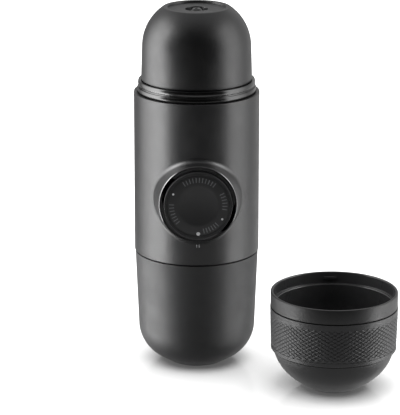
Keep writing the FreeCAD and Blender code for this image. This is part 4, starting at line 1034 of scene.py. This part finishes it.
# Each inner piece, what it is made of and how far its edges are softened, in millimetres.
INNER_PIECES = (
    ("base_plate", NYLON, 0.15),
    ("tank_seal", RUBBER, 0.2),
    ("vent_valve", RUBBER, 0.15),
    ("intake_strainer", STEEL, 0.08),
    ("group_head", NYLON, 0.15),
    ("shower_screen", STEEL, 0.08),
    ("screen_screw", STEEL, 0.1),
    ("group_gasket", RUBBER, 0.2),
    ("pump_frame", NYLON, 0.15),
    ("chassis_screws", STEEL, 0.1),
    ("cylinder_cap", NYLON, 0.15),
    ("return_spring", STEEL, 0),
    ("piston_rod", STEEL, 0.12),
    ("piston_seal", RUBBER, 0.15),
    ("knob_screw", STEEL, 0.1),
    ("valve_block", NYLON, 0.15),
    ("inlet_ball", STEEL, 0),
    ("inlet_spring", STEEL, 0),
    ("outlet_ball", STEEL, 0),
    ("outlet_spring", STEEL, 0),
    ("inlet_hose", RUBBER, 0.15),
    ("outlet_hose", RUBBER, 0.15),
    ("filter_basket", STEEL, 0.1),
    ("outlet_liner", NYLON, 0.15),
    ("crema_valve", RUBBER, 0.12),
    ("crema_spring", STEEL, 0),
)


class MODEL_OT_inside(bpy.types.Operator):
    """Pump, valves, basket and seals inside the maker"""

    bl_idname = "espresso.inside"
    bl_label = "Inside"

    def execute(self, context):
        for node, (slot, material), edge in INNER_PIECES:
            body = frame["nodes"][node]["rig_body"]
            piece = moulding(node, node + "_piece", edge * MM)
            settle(piece, body, slot, [material], node)
        return {"FINISHED"}


# --- studio


def ramp(tree, source, start, end, value=1.0):
    """A smooth rise from nothing at start to value at end."""
    inputs = {0: source, 1: start, 2: end, 3: 0.0, 4: value}
    return add(tree, "ShaderNodeMapRange", inputs, interpolation_type="SMOOTHSTEP").outputs[0]


def combined(tree, operation, first, *others):
    """One number from several, by one operation."""
    for other in others:
        first = add(tree, "ShaderNodeMath", {0: first, 1: other}, operation=operation).outputs[0]
    return first


def sheet(s, beside):
    """A wide pale sheet, lit through a little, and glossy round what stands on it."""
    deselect()
    bpy.ops.mesh.primitive_plane_add(size=s.sheet_size, enter_editmode=True)
    bpy.ops.mesh.subdivide(number_cuts=3)
    bpy.ops.object.mode_set(mode="OBJECT")
    floor = bpy.context.object
    floor.name = "floor"
    tree = new_material("lacquered_sheet")
    at = add(tree, "ShaderNodeTexCoord").outputs["Object"]
    near = []
    for foot in (Vector(), beside):
        away = add(tree, "ShaderNodeVectorMath", {0: at, 1: foot}, operation="DISTANCE")
        near.append(ramp(tree, away.outputs["Value"], s.sheet_matt, s.sheet_gloss))
    surface(tree, {
        "Base Color": (s.sheet_grey, s.sheet_grey, s.sheet_grey, 1),
        "Roughness": 0.14,
        "IOR": 1.6,
        "Emission Color": (1, 1, 1, 1),
        "Emission Strength": s.sheet_glow,
        "Specular IOR Level": combined(tree, "MAXIMUM", *near),
    })
    paint(floor, "lacquered_sheet")
    floor.visible_glossy = False
    floor.visible_diffuse = False
    return floor


def sky(context):
    """Soft light from above and behind, stronger on the right; the front stays dark."""
    world = bpy.data.worlds.new("studio")
    world.use_nodes = True
    context.scene.world = world
    tree = world.node_tree
    tree.nodes.clear()
    # The direction looked in, each part of it from -1 to 1.
    towards = add(tree, "ShaderNodeTexCoord").outputs["Generated"]
    x, y, z = add(tree, "ShaderNodeSeparateXYZ", {"Vector": towards}).outputs
    across = add(tree, "ShaderNodeMath", {0: x}, operation="ABSOLUTE").outputs[0]
    not_front = ramp(tree, y, -0.7, -0.15)
    overhead = combined(tree, "MULTIPLY", ramp(tree, z, 0.2, 0.53, 0.9), not_front)
    high, beside = ramp(tree, z, -0.05, 0.05), ramp(tree, across, 0.15, 0.35)
    open_side = combined(tree, "MAXIMUM", high, beside)
    sided = combined(tree, "ADD", ramp(tree, x, -0.8, 0.8, 0.9), 0.5)
    back = combined(tree, "MULTIPLY", ramp(tree, y, 0.35, 0.6, 0.7), open_side, sided)
    strength = combined(tree, "MAXIMUM", overhead, back)
    lit = add(tree, "ShaderNodeBackground", {"Strength": strength}).outputs[0]
    # Seen past the sheet's edge: the node's own colour is 0.8, so that this is white.
    seen = add(tree, "ShaderNodeBackground", {"Strength": 1.3}).outputs[0]
    by_camera = add(tree, "ShaderNodeLightPath").outputs["Is Camera Ray"]
    mix = add(tree, "ShaderNodeMixShader", {0: by_camera, 1: lit, 2: seen})
    add(tree, "ShaderNodeOutputWorld", {"Surface": mix.outputs[0]})


def softboxes(s, beside):
    """Wide boxes on each side of the maker and of the cup, and the floor's own glow."""
    pieces = [one for one in bpy.context.scene.objects if one.type == "MESH"]
    pieces = [one for one in pieces if one.name != "floor"]
    by_cup = [one for one in pieces if one.get("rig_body") == "cup"]
    maker = [one for one in pieces if one not in by_cup]
    casing = [one for one in maker if one.name in ("casing", "index_mark")]
    others = [one for one in maker if one not in casing]
    here = Vector()
    for name, lit, shading, centre, turn, watts, slant, head in (
        ("maker_left", others, maker, here, -s.left_turn, s.left_light, s.left_slant, 0),
        ("casing_left", casing, maker, here, -s.casing_turn, s.casing_light, 0, s.left_head),
        ("maker_right", others, maker, here, s.right_turn, s.right_light, 0, 0),
        ("casing_right", casing, maker, here, s.right_turn, s.right_light, 0, s.right_head),
        ("cup_left", by_cup, by_cup, beside, -s.cup_turn, s.cup_light, 0, 0),
        ("cup_right", by_cup, by_cup, beside, s.cup_turn, s.cup_light, 0, 0),
    ):
        middle = centre + Vector((0, 0, s.box_middle))
        away = Vector((math.sin(turn), -math.cos(turn), 0))
        box = area_light(name, s.box_width, s.box_height, watts, lit, shading)
        box.location = middle + away * s.box_distance
        box.rotation_euler = (-away).to_track_quat("-Z", "Y").to_euler()
        fade(box.data, turn > 0, slant, head)
    for name, pieces, watts, front in (
        ("maker_glow", maker, s.glow, s.glow_front),
        ("cup_glow", by_cup, s.cup_glow, s.cup_glow_front),
    ):
        glow = area_light(name, s.glow_across, s.glow_deep, watts, pieces, pieces)
        glow.location = (beside.x / 2, s.glow_deep / 2 - front, MM / 2)
        glow.rotation_euler = (math.pi, 0, 0)
        soft_edge(glow.data)


def area_light(name, width, height, watts, lit, shading):
    """An area light that lights some pieces alone, and that only some can shade."""
    data = bpy.data.lights.new(name, "AREA")
    data.shape = "RECTANGLE"
    data.size, data.size_y, data.energy = width, height, watts
    data.use_nodes = True
    data.node_tree.nodes.clear()
    light = bpy.data.objects.new(name, data)
    bpy.context.scene.collection.objects.link(light)
    light.visible_camera = False
    linking = light.light_linking
    linking.receiver_collection = linked_to(f"{name}_lit", lit)
    linking.blocker_collection = linked_to(f"{name}_shading", shading)
    return light


def linked_to(name, pieces):
    """A collection that a light can be linked to."""
    linked = bpy.data.collections.new(name)
    for piece in pieces:
        linked.objects.link(piece)
    return linked


def on_light(tree):
    """Place on a light from 0 to 1, across and up."""
    at = add(tree, "ShaderNodeNewGeometry").outputs["Parametric"]
    return add(tree, "ShaderNodeSeparateXYZ", {"Vector": at}).outputs[:2]


def shine(tree, *strengths):
    """Lets a light shine with the product of some strengths."""
    strength = combined(tree, "MULTIPLY", *strengths)
    emission = add(tree, "ShaderNodeEmission", {"Strength": strength})
    add(tree, "ShaderNodeOutputLight", {"Surface": emission.outputs[0]})


def fade(light, mirrored, slant, head):
    """Brightest near its front edge, which slants, and in its head; fades to the back."""
    tree = light.node_tree
    across, up = on_light(tree)
    side = 1 if mirrored else -1
    front, back = (0.0, 0.9) if mirrored else (1.0, -0.05)
    slanted = combined(tree, "ADD", across, ramp(tree, up, 0.26, 0.36, slant))
    rise = ramp(tree, slanted, front, front + side * 0.16)
    fall = ramp(tree, across, back, front + side * 0.2)
    ends = ramp(tree, up, 1.0, 0.7)
    high = combined(tree, "ADD", ramp(tree, up, 0.42, 0.6, head), 1.0)
    shine(tree, rise, fall, ends, high)


def soft_edge(light):
    """Fades to nothing at its front edge and its sides, and is dim round the maker's foot."""
    tree = light.node_tree
    across, up = on_light(tree)
    left, right = ramp(tree, across, 0.0, 0.25), ramp(tree, across, 1.0, 0.75)
    front = ramp(tree, up, 1.0, 0.82)
    clear = combined(tree, "ADD", ramp(tree, up, 0.5, 0.72, 0.75), 0.25)
    shine(tree, left, right, front, clear)


def floor_lamp(s, floor):
    """Even light from a wide patch of sky on the floor alone: only contact shadow is left."""
    light = bpy.data.lights.new("overhead", "SUN")
    light.energy = s.floor_light
    light.angle = s.floor_spread
    lamp = bpy.data.objects.new("overhead", light)
    bpy.context.scene.collection.objects.link(lamp)
    lamp.light_linking.receiver_collection = linked_to("floor_only", [floor])


def set_camera(context, s):
    """A long lens from a little above, aimed at the middle of the maker."""
    data = bpy.data.cameras.new("camera")
    data.lens = s.lens
    data.clip_end = 50
    camera = bpy.data.objects.new("camera", data)
    context.scene.collection.objects.link(camera)
    across, up = math.cos(s.elevation), math.sin(s.elevation)
    back = Vector((math.sin(s.azimuth) * across, -math.cos(s.azimuth) * across, up))
    aim = Vector((s.aim_across, 0, s.aim_height))
    camera.location = aim + back * s.distance
    camera.rotation_euler = (-back).to_track_quat("-Z", "Y").to_euler()
    context.scene.camera = camera


class MODEL_OT_studio(bpy.types.Operator):
    """Pale floor, softboxes at the sides, soft sky and the camera"""

    bl_idname = "espresso.studio"
    bl_label = "Studio"

    def execute(self, context):
        s = context.scene.espresso_studio
        cup = context.scene.espresso_cup
        beside = Vector((cup.across, -cup.forward, 0))
        context.scene.view_settings.view_transform = "Standard"
        floor = sheet(s, beside)
        sky(context)
        softboxes(s, beside)
        floor_lamp(s, floor)
        set_camera(context, s)
        return {"FINISHED"}


class VIEW3D_PT_espresso(bpy.types.Panel):
    """The steps of the model, in order"""

    bl_idname = "VIEW3D_PT_espresso"
    bl_label = "Handheld espresso maker"
    bl_space_type = "VIEW_3D"
    bl_region_type = "UI"
    bl_category = "Espresso"

    def draw(self, context):
        for step in STEPS:
            self.layout.operator(step.bl_idname)


GROUPS = {
    "espresso_tank": TankSizes,
    "espresso_body": BodySizes,
    "espresso_neck": NeckSizes,
    "espresso_head": HeadSizes,
    "espresso_knob": KnobSizes,
    "espresso_cup": CupSizes,
    "espresso_knurl": KnurlSizes,
    "espresso_finishes": Finishes,
    "espresso_studio": Studio,
}
STEPS = (
    MODEL_OT_tank,
    MODEL_OT_casing,
    MODEL_OT_neck,
    MODEL_OT_head,
    MODEL_OT_knob,
    MODEL_OT_cup,
    MODEL_OT_knurl,
    MODEL_OT_inside,
    MODEL_OT_studio,
)


def register():
    for name, group in GROUPS.items():
        bpy.utils.register_class(group)
        setattr(bpy.types.Scene, name, bpy.props.PointerProperty(type=group))
    for step in STEPS:
        bpy.utils.register_class(step)
    bpy.utils.register_class(VIEW3D_PT_espresso)


def unregister():
    bpy.utils.unregister_class(VIEW3D_PT_espresso)
    for step in reversed(STEPS):
        bpy.utils.unregister_class(step)
    for name, group in GROUPS.items():
        delattr(bpy.types.Scene, name)
        bpy.utils.unregister_class(group)


def main():
    register()
    make_finishes()
    bpy.ops.espresso.tank()
    bpy.ops.espresso.casing()
    bpy.ops.espresso.neck()
    bpy.ops.espresso.head()
    bpy.ops.espresso.knob()
    bpy.ops.espresso.cup()
    bpy.ops.espresso.knurl()
    bpy.ops.espresso.inside()
    bpy.ops.espresso.studio()


if __name__ == "__main__":
    main()
